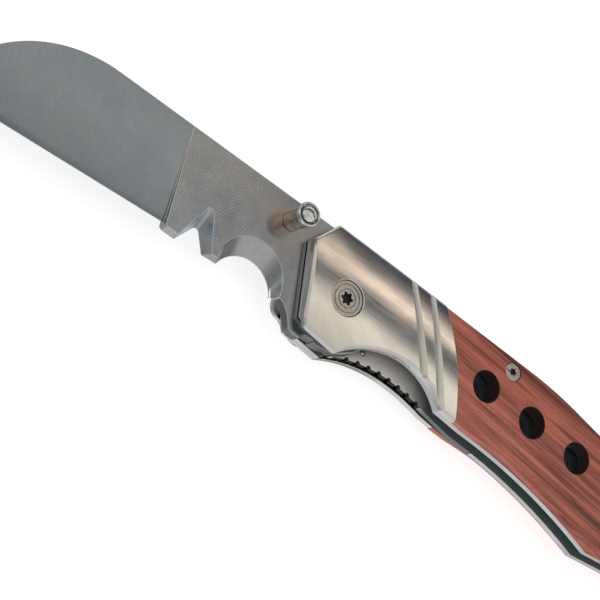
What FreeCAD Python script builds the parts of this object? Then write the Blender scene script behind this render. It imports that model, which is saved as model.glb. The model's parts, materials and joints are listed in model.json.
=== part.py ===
import FreeCAD, Part
import math
import os
import re
import Sketcher
from FreeCAD import Placement, Rotation, Vector

# A folding grafting knife, open and locked, lying on its back side.
# Drawing axes: X runs from the blade's tip to the butt, Y from the belly to the spine and
# Z out of the front side. The drawing's zero is the pivot axis at the middle of the blade.
# Every finished piece is then moved so that the frame's zero is under the middle of the
# whole knife, on the surface it lies on.

doc = FreeCAD.newDocument("GraftingKnife")
sheet = doc.addObject("Spreadsheet::Sheet", "Sizes")

SIZES = {
    # layers, counted outwards from the middle of the blade
    "blade_thick": 3.0, "washer_gap": 0.25, "liner_thick": 1.5, "shell_thick": 2.25,
    # front end and sole of the bolsters, and how far the front liner is set back there
    "liner_inset": 1.2, "nose_inset": 0.2, "nose_top_x": -12.1, "nose_top_y": 7.05,
    "crown_x": -8.05, "top_y": 13.3, "nose_low_x": -6.9, "nose_low_y": -8.85,
    "sole_front_x": -5.8, "sole_front_y": -10.5, "sole_rear_x": 3.1, "sole_rear_y": -11.35,
    # thumb cut-out: deep in the front side, shallow in the back side
    "dip_x": 20.0, "front_dip_y": -3.6, "back_dip_y": -6.75, "front_rise_radius": 22.4,
    "front_fall_radius": 15.6, "back_rise_radius": 33.5, "back_fall_radius": 48.0,
    "dip_end_x": 30.6, "dip_end_y": -7.95,
    # belly, butt and back of the handle
    "belly_x": 38.0, "belly_y": -8.5, "belly_radius": 134.0, "corner_x": 78.0, "corner_y": -14.5,
    "heel_x": 94.5, "heel_y": -12.4, "heel_radius": 10.0, "butt_x": 101.6, "butt_y": -3.5,
    "butt_radius": 13.0, "shoulder_x": 91.0, "shoulder_y": 7.6, "slope_x": 64.0,
    "slope_y": 11.75, "slope_radius": 94.0, "ridge_x": 47.0,
    # seam between bolster and wood
    "seam_top_x": 22.0, "seam_low_x": 34.8, "seam_low_y": -8.3, "seam_radius": 69.0,
    # carved face of the wood
    "carve_depth": 1.85, "face_top_y": 12.8, "face_belly_x": 39.0, "face_belly_y": -8.45,
    "face_belly_radius": 90.0, "face_corner_x": 77.2, "face_corner_y": -13.2,
    "face_heel_x": 93.6, "face_heel_y": -11.5, "face_heel_radius": 9.0, "face_butt_x": 100.3,
    "face_butt_y": -3.5, "face_butt_radius": 12.0, "face_shoulder_x": 90.4,
    "face_shoulder_y": 6.5, "face_slope_x": 63.8, "face_slope_y": 11.0,
    "face_slope_radius": 94.0, "face_ridge_y": 12.6, "bolster_chamfer": 0.45,
    # three lightening holes through each side
    "hole_first_x": 38.1, "hole_first_y": 2.75, "hole_pitch": 13.8, "hole_drop": 0.5,
    "hole_radius": 3.5,
    # two ornamental grooves across each bolster
    "groove_depth": 0.75, "groove_one_top": 12.5, "groove_one_low": 23.2, "groove_one_end": -3.7,
    "groove_two_top": 17.9, "groove_two_low": 30.4, "groove_two_end": -8.2, "groove_narrow": 1.1,
    "groove_wide": 1.9, "groove_over": 1.5,
    # pivot
    "barrel_radius": 2.4, "pivot_clear": 0.03, "head_radius": 3.75, "head_seat_radius": 3.9,
    "head_thick": 0.9, "head_sunk": 0.35, "ring_outer": 3.2, "ring_inner": 2.2,
    "ring_width": 0.35, "ring_depth": 0.25, "pivot_thread": 1.5, "washer_radius": 7.5,
    "washer_clear": 0.02, "thread_play": 0.5,
    # star recesses
    "pivot_star": 1.5, "pivot_star_depth": 0.85, "small_star": 0.95, "small_star_depth": 0.6,
    "clip_star_depth": 0.8, "star_core": 0.72, "star_orbit": 0.76, "star_lobe": 0.24,
    "star_turn": 12.0,
    # blade outline
    "tip_x": -94.2, "tip_y": -12.45, "spine_bend_x": -63.4, "spine_bend_y": 12.7,
    "spine_radius": 32.0, "spine_rear_x": 2.6, "spine_rear_y": 13.95, "choil_x": -41.6,
    "choil_y": -8.2, "tooth_front_x": -40.2, "tooth_rear_x": -37.6, "tooth_y": -9.0,
    "fang_x": -28.3, "fang_y": -8.1, "bay_x": -11.9, "bay_y": -7.15, "brow_one_x": -10.6,
    "brow_one_y": -7.75, "brow_two_x": -9.2, "brow_two_y": -8.95, "brow_three_x": -8.2,
    "brow_three_y": -10.35, "kick_front_x": -7.5, "kick_front_y": -11.6, "kick_x": -6.2,
    "kick_y": -12.1, "tang_radius": 10.95, "tang_step_x": -1.35, "tang_step_rise": 0.45,
    "tang_foot_x": -0.95, "tang_middle": -6.0,
    # stop pin
    "pin_orbit": 12.3, "pin_angle": 69.0, "pin_radius": 1.2, "cradle_radius": 1.35,
    "cradle_land": 0.5, "cradle_lip": 140.0, "closed_angle": 173.0,
    # blade grinds
    "plunge_low_x": -40.9, "plunge_low_y": -8.1433, "plunge_top_x": -45.7, "plunge_top_y": 12.9,
    "bevel_height": 1.45, "bevel_half": 0.3, "edge_half": 0.05, "grind_height": 22.6,
    "grind_half": 1.47, "grind_over": 1.5, "spine_chamfer": 0.3,
    # the two hooked cutting bays, ground from the front side
    "bay_reach": 1.8, "bay_front_x": -20.25, "bay_front_y": -6.7, "bay_front_radius": 8.08,
    "bay_back_x": -19.65, "bay_back_y": -10.3, "bay_back_radius": 7.1, "vee_front_x": -38.6,
    "vee_rear_x": -27.6, "vee_open_y": -12.0, "vee_left_x": -34.5, "vee_right_x": -32.85,
    "vee_front_y": 0.1, "vee_back_y": -5.1, "vee_front_radius": 0.95, "vee_back_radius": 0.95,
    # relief in the back of the tang, over the lock bar's end
    "relief_depth": 0.45, "relief_outer": 14.8, "relief_start": 152.0, "relief_sweep": 106.0,
    "relief_inset": 0.1,
    # thumb stud
    "stud_x": -16.95, "stud_y": 8.75, "stud_radius": 2.2, "stud_height": 6.0, "stud_cap": 2.65,
    "stud_rim": 0.9, "stud_dome": 0.55, "stud_dome_radius": 1.75, "stud_thread": 1.1,
    "stud_dish": 0.3, "stud_dish_radius": 2.1, "stud_web": 1.0, "stud_gap": 0.2,
    "stud_sunk": 0.05, "stud_head": 2.0, "stud_head_thick": 1.0,
    # lock bar
    "lock_gap": 0.06, "lock_root_x": 45.0, "lock_top_y": -0.95, "lock_slot": 0.5,
    "lock_nose_x": 4.9, "lock_nose_y": -9.95, "lock_face_x": 5.05, "lock_inset": 0.45,
    "lock_lift": 0.8, "root_gap": 0.1, "root_low_y": -8.68, "slot_mouth_x": 3.7,
    "slot_mouth_y": -10.55, "slot_turn_x": 4.2, "ball_x": 11.4, "ball_y": -4.8,
    "ball_radius": 0.7, "ball_proud": 0.15, "tooth_count": 8, "tooth_first_x": 8.6,
    "tooth_pitch": 2.75, "tooth_gullet": 0.55,
    # back spacer
    "spacer_front_x": 19.0, "spacer_inset": 0.35, "spacer_low_y": 9.2, "spacer_bend_x": 80.0,
    "spacer_bend_y": 5.2, "spacer_turn_x": 95.4, "spacer_turn_y": 4.2, "spacer_tail_x": 97.4,
    "spacer_tail_y": 2.6, "spacer_end_x": 100.05, "spacer_end_y": -7.6, "spacer_corner": 1.4,
    # screws through the wood
    "scale_screw_x": 43.15, "scale_screw_y": 9.85, "rear_screw_x": 84.5, "rear_screw_y": 6.4,
    "screw_seat": 2.15, "screw_head": 2.0, "screw_sunk": 0.35, "screw_thick": 0.8,
    "screw_shank": 1.0, "shank_bury": 1.2, "thread_depth": 1.3,
    # rivets that hold the bolsters on the liners
    "rivet_radius": 1.1, "rivet_one_x": -5.6, "rivet_one_y": 7.4, "rivet_two_x": 16.5,
    "rivet_two_y": 2.6, "rivet_bury": 1.4,
    # pocket clip
    "clip_thick": 1.1, "clip_lobe": 3.1, "clip_one_x": -7.0, "clip_one_y": -4.5,
    "clip_two_x": -1.5, "clip_two_y": -7.0, "clip_three_x": -6.9, "clip_three_y": 3.6,
    "clip_window": 4.4, "clip_half_width": 3.6, "clip_ramp_x": 8.0, "clip_arm_x": 13.0,
    "clip_bend_x": 42.0, "clip_touch_x": 50.0, "clip_end_x": 55.0, "clip_stand": 2.2,
    "clip_kiss": 0.25, "clip_flare": 1.6, "clip_head": 2.0, "clip_dome": 1.0, "clip_low_x": -2.6,
    "clip_low_y": -9.9, "clip_side_x": 0.9, "clip_side_y": -8.96, "clip_top_x": -2.9,
    "clip_heel": 0.5, "clip_lip_x": 55.4, "clip_lip": 1.7, "clip_outside": 3.61,
    "clip_point_x": 55.3, "clip_round": 2.4, "clip_shoulder_x": 52.8, "clip_shoulder_y": 2.35,
    "clip_shank_gap": 0.1,
    # the frame's zero, measured from the drawing's zero
    "zero_x": 3.7, "zero_y": -0.275,
}
for row, (alias, size) in enumerate(SIZES.items(), start=1):
    sheet.set("A%d" % row, alias.replace("_", " "))
    sheet.set("B%d" % row, str(size))
    sheet.setAlias("B%d" % row, alias)
doc.recompute()

# Heights above the middle of the blade.
FLAT = "blade_thick / 2"
LINER = "(blade_thick / 2 + washer_gap)"
SHELL = "(blade_thick / 2 + washer_gap + liner_thick)"
FACE = "(blade_thick / 2 + washer_gap + liner_thick + shell_thick)"
REST = "(blade_thick / 2 + washer_gap + liner_thick + shell_thick + clip_stand + clip_thick)"
LOCK_ANGLE = "asin(lock_lift / (lock_root_x - lock_nose_x))"

parts = []


def refer(text):
    """Points every size's name in an expression at its cell in the sheet."""
    return re.sub(r"\b[a-z]+(?:_[a-z]+)+\b", lambda word: "Sizes." + word.group(0), str(text))


def value(text):
    """The number that an expression of sizes stands for, in millimetres or degrees."""
    result = sheet.evalExpression(str(text))
    return float(getattr(result, "Value", result))


def bind(thing, path, text):
    thing.setExpression(path, refer(text))


def place(thing, x="0", y="0", z="0"):
    """Binds a finished piece's Placement, so that the drawing's zero moves to the frame's."""
    bind(thing, "Placement.Base.x", "(%s) - zero_x" % x)
    bind(thing, "Placement.Base.y", "(%s) - zero_y" % y)
    bind(thing, "Placement.Base.z", "(%s) + %s" % (z, REST))


def finish(thing, label):
    thing.Label = label
    parts.append(thing)


# ---- sketches and features of PartDesign bodies --------------------------------------

def new_body(label):
    body = doc.addObject("PartDesign::Body", label)
    place(body)
    finish(body, label)
    return body


def new_sketch(body, name, lift="0"):
    """A sketch that lies flat, at a height bound to the sheet."""
    sketch = body.newObject("Sketcher::SketchObject", name)
    plane = next(item for item in body.Origin.OriginFeatures if item.Role == "XY_Plane")
    sketch.AttachmentSupport = [(plane, "")]
    sketch.MapMode = "FlatFace"
    bind(sketch, "AttachmentOffset.Base.z", lift)
    return sketch


def upright_sketch(body, name, x, y, heading):
    """A sketch that stands on edge at a point, its first axis along a heading in degrees."""
    sketch = new_sketch(body, name)
    sketch.AttachmentOffset = Placement(Vector(value(x), value(y), 0), Rotation(heading, 0, 90))
    bind(sketch, "AttachmentOffset.Base.x", x)
    bind(sketch, "AttachmentOffset.Base.y", y)
    return sketch


def arc_middle(start, end, radius, turn):
    """The middle of the short arc between two points; turn is 1 to the left, -1 to the right."""
    chord = end - start
    half = chord.Length / 2
    left = Vector(-chord.y, chord.x, 0).normalize()
    return (start + end) / 2 - left * turn * (radius - math.sqrt(radius ** 2 - half ** 2))


def draw(sketch, nodes, origin=("0", "0")):
    """Draws a closed outline. A node is (x, y), or (x, y, radius, turn) where an arc follows."""
    spots = []
    for node in nodes:
        x = "(%s) - (%s)" % (node[0], origin[0])
        y = "(%s) - (%s)" % (node[1], origin[1])
        spots.append((x, y, Vector(value(x), value(y), 0)))
    edges = []
    for index, node in enumerate(nodes):
        start = spots[index][2]
        end = spots[(index + 1) % len(nodes)][2]
        if len(node) == 4:
            middle = arc_middle(start, end, value(node[2]), node[3])
            edge = sketch.addGeometry(Part.Arc(start, middle, end), False)
        else:
            edge = sketch.addGeometry(Part.LineSegment(start, end), False)
        first = 1 if (sketch.getPoint(edge, 1) - start).Length < 1e-6 else 2
        edges.append((edge, first, 3 - first))
    for index, (edge, first, last) in enumerate(edges):
        following = edges[(index + 1) % len(edges)]
        sketch.addConstraint(Sketcher.Constraint("Coincident", edge, last, following[0], following[1]))
    for index, (edge, first, last) in enumerate(edges):
        for kind, text, number in (("DistanceX", spots[index][0], spots[index][2].x),
                                   ("DistanceY", spots[index][1], spots[index][2].y)):
            made = sketch.addConstraint(Sketcher.Constraint(kind, -1, 1, edge, first, number))
            bind(sketch, "Constraints[%d]" % made, text)
        if len(nodes[index]) == 4:
            radius = nodes[index][2]
            made = sketch.addConstraint(Sketcher.Constraint("Radius", edge, value(radius)))
            bind(sketch, "Constraints[%d]" % made, radius)


def draw_circle(sketch, x, y, radius):
    spot = Vector(value(x), value(y), 0)
    ring = sketch.addGeometry(Part.Circle(spot, Vector(0, 0, 1), value(radius)), False)
    for kind, text in (("DistanceX", x), ("DistanceY", y)):
        made = sketch.addConstraint(Sketcher.Constraint(kind, -1, 1, ring, 3, value(text)))
        bind(sketch, "Constraints[%d]" % made, text)
    made = sketch.addConstraint(Sketcher.Constraint("Radius", ring, value(radius)))
    bind(sketch, "Constraints[%d]" % made, radius)


def pad(body, sketch, length, up=True):
    feature = body.newObject("PartDesign::Pad", sketch.Name + "_pad")
    feature.Profile = sketch
    feature.Reversed = not up
    bind(feature, "Length", length)
    return feature


def pocket(body, sketch, length, up):
    """Cuts a sketch's shape to a depth, upwards or downwards from the sketch."""
    feature = body.newObject("PartDesign::Pocket", sketch.Name + "_pocket")
    feature.Profile = sketch
    feature.Reversed = up
    bind(feature, "Length", length)


def cut_through(body, sketch):
    """Cuts a sketch's shape through the whole body, both ways."""
    feature = body.newObject("PartDesign::Pocket", sketch.Name + "_through")
    feature.Profile = sketch
    feature.SideType = "Symmetric"
    bind(feature, "Length", "4 * (%s)" % FACE)


def slab(label, nodes, low, thick, side):
    """A flat piece that fills one layer of the front (side 1) or the back (side -1)."""
    body = new_body(label)
    sketch = new_sketch(body, label + "_outline", "%d * %s" % (side, low))
    draw(sketch, nodes)
    pad(body, sketch, thick, up=side > 0)
    return body


def drill(body, label, holes):
    sketch = new_sketch(body, label)
    for x, y, radius in holes:
        draw_circle(sketch, x, y, radius)
    cut_through(body, sketch)


def seat(body, label, x, y, radius, depth, side):
    """A flat-bottomed seat for a screw's head, sunk from the outer face."""
    sketch = new_sketch(body, label, "%d * %s" % (side, FACE))
    draw_circle(sketch, x, y, radius)
    pocket(body, sketch, depth, up=side < 0)


# ---- solids made of primitives --------------------------------------------------------

def rod(name, x, y, low, radius, height, side=1):
    """An upright cylinder that starts at a height and goes outwards on its side."""
    item = doc.addObject("Part::Cylinder", name)
    bind(item, "Radius", radius)
    bind(item, "Height", height)
    bind(item, "Placement.Base.x", x)
    bind(item, "Placement.Base.y", y)
    bind(item, "Placement.Base.z", low if side > 0 else "-(%s) - (%s)" % (low, height))
    return item


def joined(name, items):
    item = doc.addObject("Part::MultiFuse", name)
    item.Shapes = items
    item.Refine = True
    return item


def minus(name, base, tool):
    item = doc.addObject("Part::Cut", name)
    item.Base = base
    item.Tool = tool
    return item


def overlap(name, base, tool):
    item = doc.addObject("Part::Common", name)
    item.Base = base
    item.Tool = tool
    return item


def star(name, x, y, top, radius, depth, side):
    """A six-lobed recess, cut down from a height: a core and six lobes set round it."""
    low = "(%s) - (%s)" % (top, depth)
    tall = "2 * (%s)" % depth
    items = [rod(name + "_core", x, y, low, "%s * star_core" % radius, tall, side)]
    for lobe in range(6):
        turn = "%d + star_turn" % (lobe * 60)
        out_x = "%s + %s * star_orbit * cos(%s)" % (x, radius, turn)
        out_y = "%s + %s * star_orbit * sin(%s)" % (y, radius, turn)
        items.append(rod("%s_lobe_%d" % (name, lobe), out_x, out_y, low,
                         "%s * star_lobe" % radius, tall, side))
    return joined(name, items)


def sunk_screw(name, x, y, side):
    """A flat-headed screw in its seat in the wood, its shank running in to the spacer."""
    top = "%s - screw_sunk" % FACE
    under = "%s - screw_thick" % top
    shank_low = "%s - shank_bury" % LINER
    head = rod(name + "_head", x, y, under, "screw_head", "screw_thick", side)
    shank = rod(name + "_shank", x, y, shank_low, "screw_shank", "%s - (%s)" % (under, shank_low),
                side)
    recess = star(name + "_star", x, y, top, "small_star", "small_star_depth", side)
    return minus(name, joined(name + "_blank", [head, shank]), recess)


def group(label, items):
    """Identical fasteners, kept as separate solids in one node."""
    item = doc.addObject("Part::Compound", label)
    item.Links = items
    single(item, label)


def single(thing, label):
    place(thing)
    finish(thing, label)


# ---- outlines ------------------------------------------------------------------------

def nose():
    """Front end and sole, from the top of the nose down and round to the cut-out."""
    return [("crown_x", "top_y"), ("nose_top_x", "nose_top_y"), ("nose_low_x", "nose_low_y"),
            ("sole_front_x", "sole_front_y")]


def cut_out(side):
    """The thumb cut-out, from the rear of the sole to the belly."""
    word = "front" if side > 0 else "back"
    return [("sole_rear_x", "sole_rear_y", word + "_rise_radius", -1),
            ("dip_x", word + "_dip_y", word + "_fall_radius", -1),
            ("dip_end_x", "dip_end_y")]


def tail():
    """Belly, butt and back, from the belly round to the top."""
    return [("belly_x", "belly_y", "belly_radius", -1), ("corner_x", "corner_y"),
            ("heel_x", "heel_y", "heel_radius", 1), ("butt_x", "butt_y", "butt_radius", 1),
            ("shoulder_x", "shoulder_y"), ("slope_x", "slope_y", "slope_radius", 1),
            ("ridge_x", "top_y")]


def holes():
    return [("hole_first_x + %d * hole_pitch" % step, "hole_first_y - %d * hole_drop" % step,
             "hole_radius") for step in range(3)]


SCREWS = [("scale_screw_x", "scale_screw_y"), ("rear_screw_x", "rear_screw_y")]
RIVETS = [("rivet_one_x", "rivet_one_y"), ("rivet_two_x", "rivet_two_y")]
CLIP_SCREWS = [("clip_one_x", "clip_one_y"), ("clip_two_x", "clip_two_y"),
               ("clip_three_x", "clip_three_y")]
PIN = ("pin_orbit * cos(pin_angle)", "pin_orbit * sin(pin_angle)")


def liner_holes():
    found = holes() + [("0", "0", "barrel_radius"), PIN + ("pin_radius",)]
    found += [(x, y, "screw_shank") for x, y in SCREWS]
    found += [(x, y, "rivet_radius") for x, y in RIVETS]
    return found


# ---- handle --------------------------------------------------------------------------

def front_liner():
    """The front liner, set back from the bolster's front end, sole and thumb cut-out."""
    nodes = [("crown_x + nose_inset", "top_y"), ("nose_top_x + nose_inset", "nose_top_y"),
             ("nose_low_x + nose_inset", "nose_low_y + liner_inset / 2"),
             ("sole_front_x + liner_inset", "sole_front_y + liner_inset"),
             ("sole_rear_x", "sole_rear_y + liner_inset", "front_rise_radius", -1),
             ("dip_x", "front_dip_y + liner_inset / 2", "front_fall_radius", -1),
             ("dip_end_x", "dip_end_y")]
    body = slab("front_liner", nodes + tail(), LINER, "liner_thick", 1)
    drill(body, "front_liner_holes", liner_holes())


def back_liner():
    """The back liner, with the space for the lock bar cut out of its belly side."""
    inner = "(tang_radius + lock_gap - lock_slot)"
    top = "(lock_top_y + lock_slot)"
    nodes = nose() + [("sole_rear_x", "sole_rear_y"), ("slot_mouth_x", "slot_mouth_y"),
                      ("slot_turn_x", "-sqrt(%s ^ 2 - slot_turn_x ^ 2)" % inner, inner, 1),
                      ("sqrt(%s ^ 2 - %s ^ 2)" % (inner, top), top),
                      ("lock_root_x + root_gap", top),
                      ("lock_root_x + root_gap", "root_low_y", "belly_radius", -1)]
    body = slab("back_liner", nodes + tail()[1:], LINER, "liner_thick", -1)
    drill(body, "back_liner_holes", liner_holes())


def lock_bar():
    """The leaf that springs in behind the tang, drawn flat from its root and then tilted."""
    reach = "(tang_radius + lock_gap)"
    edge = "(back_dip_y + lock_inset)"
    nodes = [("lock_nose_x", "lock_nose_y", "back_rise_radius", -1),
             ("dip_x", edge, "back_fall_radius", -1), ("dip_end_x", "dip_end_y + lock_inset"),
             ("belly_x", "belly_y"), ("lock_root_x", "root_low_y"),
             ("lock_root_x", "lock_top_y"),
             ("sqrt(%s ^ 2 - lock_top_y ^ 2)" % reach, "lock_top_y", reach, -1),
             ("lock_face_x", "-sqrt(%s ^ 2 - lock_face_x ^ 2)" % reach)]
    body = doc.addObject("PartDesign::Body", "lock_bar")
    place(body, "lock_root_x", "0", "-%s - liner_thick / 2" % LINER)
    body.Placement.Rotation = Rotation(Vector(0, 1, 0), value(LOCK_ANGLE))
    bind(body, "Placement.Rotation.Angle", LOCK_ANGLE)
    finish(body, "lock_bar")
    origin = ("lock_root_x", "0")
    sketch = new_sketch(body, "lock_bar_outline", "-liner_thick / 2")
    draw(sketch, nodes, origin)
    pad(body, sketch, "liner_thick")
    gullets = new_sketch(body, "lock_bar_gullets")
    for tooth in range(int(value("tooth_count"))):
        x = "tooth_first_x + %s * tooth_pitch" % tooth
        along = value(x)
        rise = value("back_rise_radius") if along < value("dip_x") else value("back_fall_radius")
        drop = rise - math.sqrt(rise ** 2 - (along - value("dip_x")) ** 2)
        draw_circle(gullets, x + " - lock_root_x", "%s - %.3f" % (edge, drop), "tooth_gullet")
    cut_through(body, gullets)
    ball_hole = new_sketch(body, "lock_bar_ball_hole")
    draw_circle(ball_hole, "ball_x - lock_root_x", "ball_y", "ball_radius")
    cut_through(body, ball_hole)
    ball = doc.addObject("Part::Sphere", "detent_ball")
    bind(ball, "Radius", "ball_radius")
    arm = "(lock_root_x - ball_x)"
    rise = "(liner_thick / 2 + ball_proud - ball_radius)"
    place(ball, "lock_root_x - %s * cos(%s) + %s * sin(%s)" % (arm, LOCK_ANGLE, rise, LOCK_ANGLE),
          "ball_y", "-%s - liner_thick / 2 + %s * sin(%s) + %s * cos(%s)"
          % (LINER, arm, LOCK_ANGLE, rise, LOCK_ANGLE))
    finish(ball, "detent_ball")


def edges_on(feature, chosen):
    """Names the edges of a feature that a test picks."""
    return ["Edge%d" % (index + 1) for index, edge in enumerate(feature.Shape.Edges)
            if chosen(edge)]


def grooves(body, side):
    """Two V-grooves that run slantwise from the back of the handle to the cut-out."""
    for name, top, low, end in (("one", "groove_one_top", "groove_one_low", "groove_one_end"),
                                ("two", "groove_two_top", "groove_two_low", "groove_two_end")):
        run = Vector(value(low) - value(top), value(end) - value("top_y"), 0)
        heading = math.degrees(math.atan2(run.y, run.x)) + 90
        run.normalize()
        ends = []
        for spot, x, y, width, way in (("top", top, "top_y", "groove_narrow", -1),
                                       ("low", low, end, "groove_wide", 1)):
            sketch = upright_sketch(body, "%s_groove_%s_%s" % (body.Name, name, spot),
                                    "%s + %.6f * groove_over" % (x, run.x * way),
                                    "%s + %.6f * groove_over" % (y, run.y * way), heading)
            draw(sketch, [("-%s" % width, "%d * (%s + groove_depth)" % (side, FACE)),
                          ("0", "%d * (%s - groove_depth)" % (side, FACE)),
                          (width, "%d * (%s + groove_depth)" % (side, FACE))])
            ends.append(sketch)
        loft = body.newObject("PartDesign::SubtractiveLoft", "%s_groove_%s" % (body.Name, name))
        loft.Profile = ends[0]
        loft.Sections = [ends[1]]
        loft.Ruled = True


def bolster(side):
    name = "front_bolster" if side > 0 else "back_bolster"
    nodes = nose() + cut_out(side)
    nodes += [("seam_low_x", "seam_low_y", "seam_radius", 1), ("seam_top_x", "top_y")]
    body = slab(name, nodes, SHELL, "shell_thick", side)
    doc.recompute()
    face = side * value(FACE)
    seam = value("seam_top_x"), value("top_y")

    def rim(edge):
        """Outer face edges, apart from the seam with the wood."""
        ends = [vertex.Point for vertex in edge.Vertexes]
        on_face = all(abs(point.z - face) < 1e-6 for point in ends)
        on_seam = edge.Curve.TypeId == "Part::GeomCircle" and any(
            math.hypot(point.x - seam[0], point.y - seam[1]) < 1e-4 for point in ends)
        return on_face and not on_seam

    block = body.Tip
    chamfer = body.newObject("PartDesign::Chamfer", name + "_rim")
    chamfer.Base = (block, edges_on(block, rim))
    bind(chamfer, "Size", "bolster_chamfer")
    seat(body, name + "_pivot_seat", "0", "0", "head_seat_radius", "head_thick + head_sunk", side)
    drill(body, name + "_barrel_hole", [("0", "0", "barrel_radius")])
    grooves(body, side)
    blind = new_sketch(body, name + "_rivet_holes", "%d * %s" % (side, SHELL))
    for x, y in RIVETS:
        draw_circle(blind, x, y, "rivet_radius")
    pocket(body, blind, "rivet_bury", up=side > 0)
    if side < 0:
        threads = new_sketch(body, name + "_clip_holes", "-" + FACE)
        for x, y in CLIP_SCREWS:
            draw_circle(threads, x, y, "screw_shank")
        pocket(body, threads, "shell_thick", up=True)


def seam_x(height):
    """Where the curved seam between bolster and wood stands at a height across the handle."""
    rise, run = "(top_y - seam_low_y)", "(seam_low_x - seam_top_x)"
    chord = "sqrt(%s ^ 2 + %s ^ 2)" % (rise, run)
    back = "sqrt(seam_radius ^ 2 - (%s / 2) ^ 2)" % chord
    centre_x = "(seam_top_x + seam_low_x) / 2 - %s * %s / %s" % (back, rise, chord)
    centre_y = "((top_y + seam_low_y) / 2 - %s * %s / %s)" % (back, run, chord)
    return "%s + sqrt(seam_radius ^ 2 - (%s - %s) ^ 2)" % (centre_x, height, centre_y)


def scale(side):
    """A wooden side: a thin straight base and a carved face that narrows to the front."""
    name = "front_scale" if side > 0 else "back_scale"
    seam = [("seam_top_x", "top_y", "seam_radius", -1), ("seam_low_x", "seam_low_y")]
    base_low = "(%s + shell_thick - carve_depth)" % SHELL
    body = slab(name, seam + tail(), SHELL, "shell_thick - carve_depth", side)
    foot = new_sketch(body, name + "_carve_foot", "%d * %s" % (side, base_low))
    draw(foot, seam + tail())
    crown = new_sketch(body, name + "_carve_face", "%d * %s" % (side, FACE))
    draw(crown, [(seam_x("face_top_y"), "face_top_y", "seam_radius", -1),
                 ("seam_low_x", "seam_low_y"),
                 ("face_belly_x", "face_belly_y", "face_belly_radius", -1),
                 ("face_corner_x", "face_corner_y"),
                 ("face_heel_x", "face_heel_y", "face_heel_radius", 1),
                 ("face_butt_x", "face_butt_y", "face_butt_radius", 1),
                 ("face_shoulder_x", "face_shoulder_y"),
                 ("face_slope_x", "face_slope_y", "face_slope_radius", 1),
                 ("ridge_x", "face_ridge_y")])
    loft = body.newObject("PartDesign::AdditiveLoft", name + "_carving")
    loft.Profile = foot
    loft.Sections = [crown]
    loft.Ruled = True
    drill(body, name + "_holes", holes() + [(x, y, "screw_shank") for x, y in SCREWS])
    for index, (x, y) in enumerate(SCREWS):
        seat(body, "%s_screw_seat_%d" % (name, index), x, y, "screw_seat",
             "screw_sunk + screw_thick", side)


def back_spacer():
    """The bar between the liners that closes the back of the handle and the butt."""
    ins = "spacer_inset"
    nodes = [("spacer_front_x", "top_y - %s" % ins),
             ("spacer_front_x", "spacer_low_y + spacer_corner"),
             ("spacer_front_x + spacer_corner", "spacer_low_y"),
             ("spacer_bend_x", "spacer_bend_y"), ("spacer_turn_x", "spacer_turn_y"),
             ("spacer_tail_x", "spacer_tail_y"), ("spacer_tail_x", "spacer_end_y"),
             ("spacer_end_x", "spacer_end_y"),
             ("butt_x - %s" % ins, "butt_y", "butt_radius - %s" % ins, 1),
             ("shoulder_x - %s / 2" % ins, "shoulder_y - %s" % ins),
             ("slope_x", "slope_y - %s" % ins, "slope_radius", 1),
             ("ridge_x", "top_y - %s" % ins)]
    body = new_body("back_spacer")
    sketch = new_sketch(body, "back_spacer_outline")
    draw(sketch, nodes)
    feature = pad(body, sketch, "2 * " + LINER)
    feature.SideType = "Symmetric"
    for side in (1, -1):
        threads = new_sketch(body, "back_spacer_threads_%s" % ("front" if side > 0 else "back"),
                             "%d * %s" % (side, LINER))
        for x, y in SCREWS:
            draw_circle(threads, x, y, "screw_shank")
        pocket(body, threads, "thread_depth", up=side < 0)


# ---- pivot, pins and screws ----------------------------------------------------------

def washers():
    for side, name in ((1, "front_washer"), (-1, "back_washer")):
        outer = rod(name + "_disc", "0", "0", FLAT, "washer_radius", "washer_gap", side)
        inner = rod(name + "_bore", "0", "0", "0", "barrel_radius + washer_clear", "shell_thick", side)
        single(minus(name, outer, inner), name)


def ringed(name, head, top, side):
    """Cuts two shallow rings into a pivot head."""
    for index, radius in enumerate(("ring_outer", "ring_inner")):
        low = "%s - ring_depth" % top
        wide = rod("%s_ring_%d" % (name, index), "0", "0", low, radius, "2 * ring_depth", side)
        core = rod("%s_core_%d" % (name, index), "0", "0", low + " - ring_depth",
                   "%s - ring_width" % radius, "4 * ring_depth", side)
        head = minus("%s_grooved_%d" % (name, index), head,
                     minus("%s_tool_%d" % (name, index), wide, core))
    return head


def pivot():
    top = "%s - head_sunk" % FACE
    under = "(%s - head_thick)" % top
    span = "(2 * %s)" % under
    head = rod("barrel_head", "0", "0", under, "head_radius", "head_thick", -1)
    tube = rod("barrel_tube", "0", "0", "-" + under, "barrel_radius", span)
    thread = rod("barrel_thread", "0", "0", "-thread_play", "pivot_thread", span)
    blank = minus("barrel_blank", joined("barrel_solid", [head, tube]), thread)
    single(minus("pivot_barrel", ringed("barrel", blank, top, -1),
                 star("barrel_star", "0", "0", top, "pivot_star", "pivot_star_depth", -1)),
           "pivot_barrel")
    cap = rod("screw_cap", "0", "0", under, "head_radius", "head_thick")
    shank = rod("screw_stem", "0", "0", "0", "pivot_thread", under)
    solid = joined("screw_solid", [cap, shank])
    single(minus("pivot_screw", ringed("screw", solid, top, 1),
                 star("screw_star", "0", "0", top, "pivot_star", "pivot_star_depth", 1)),
           "pivot_screw")


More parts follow.
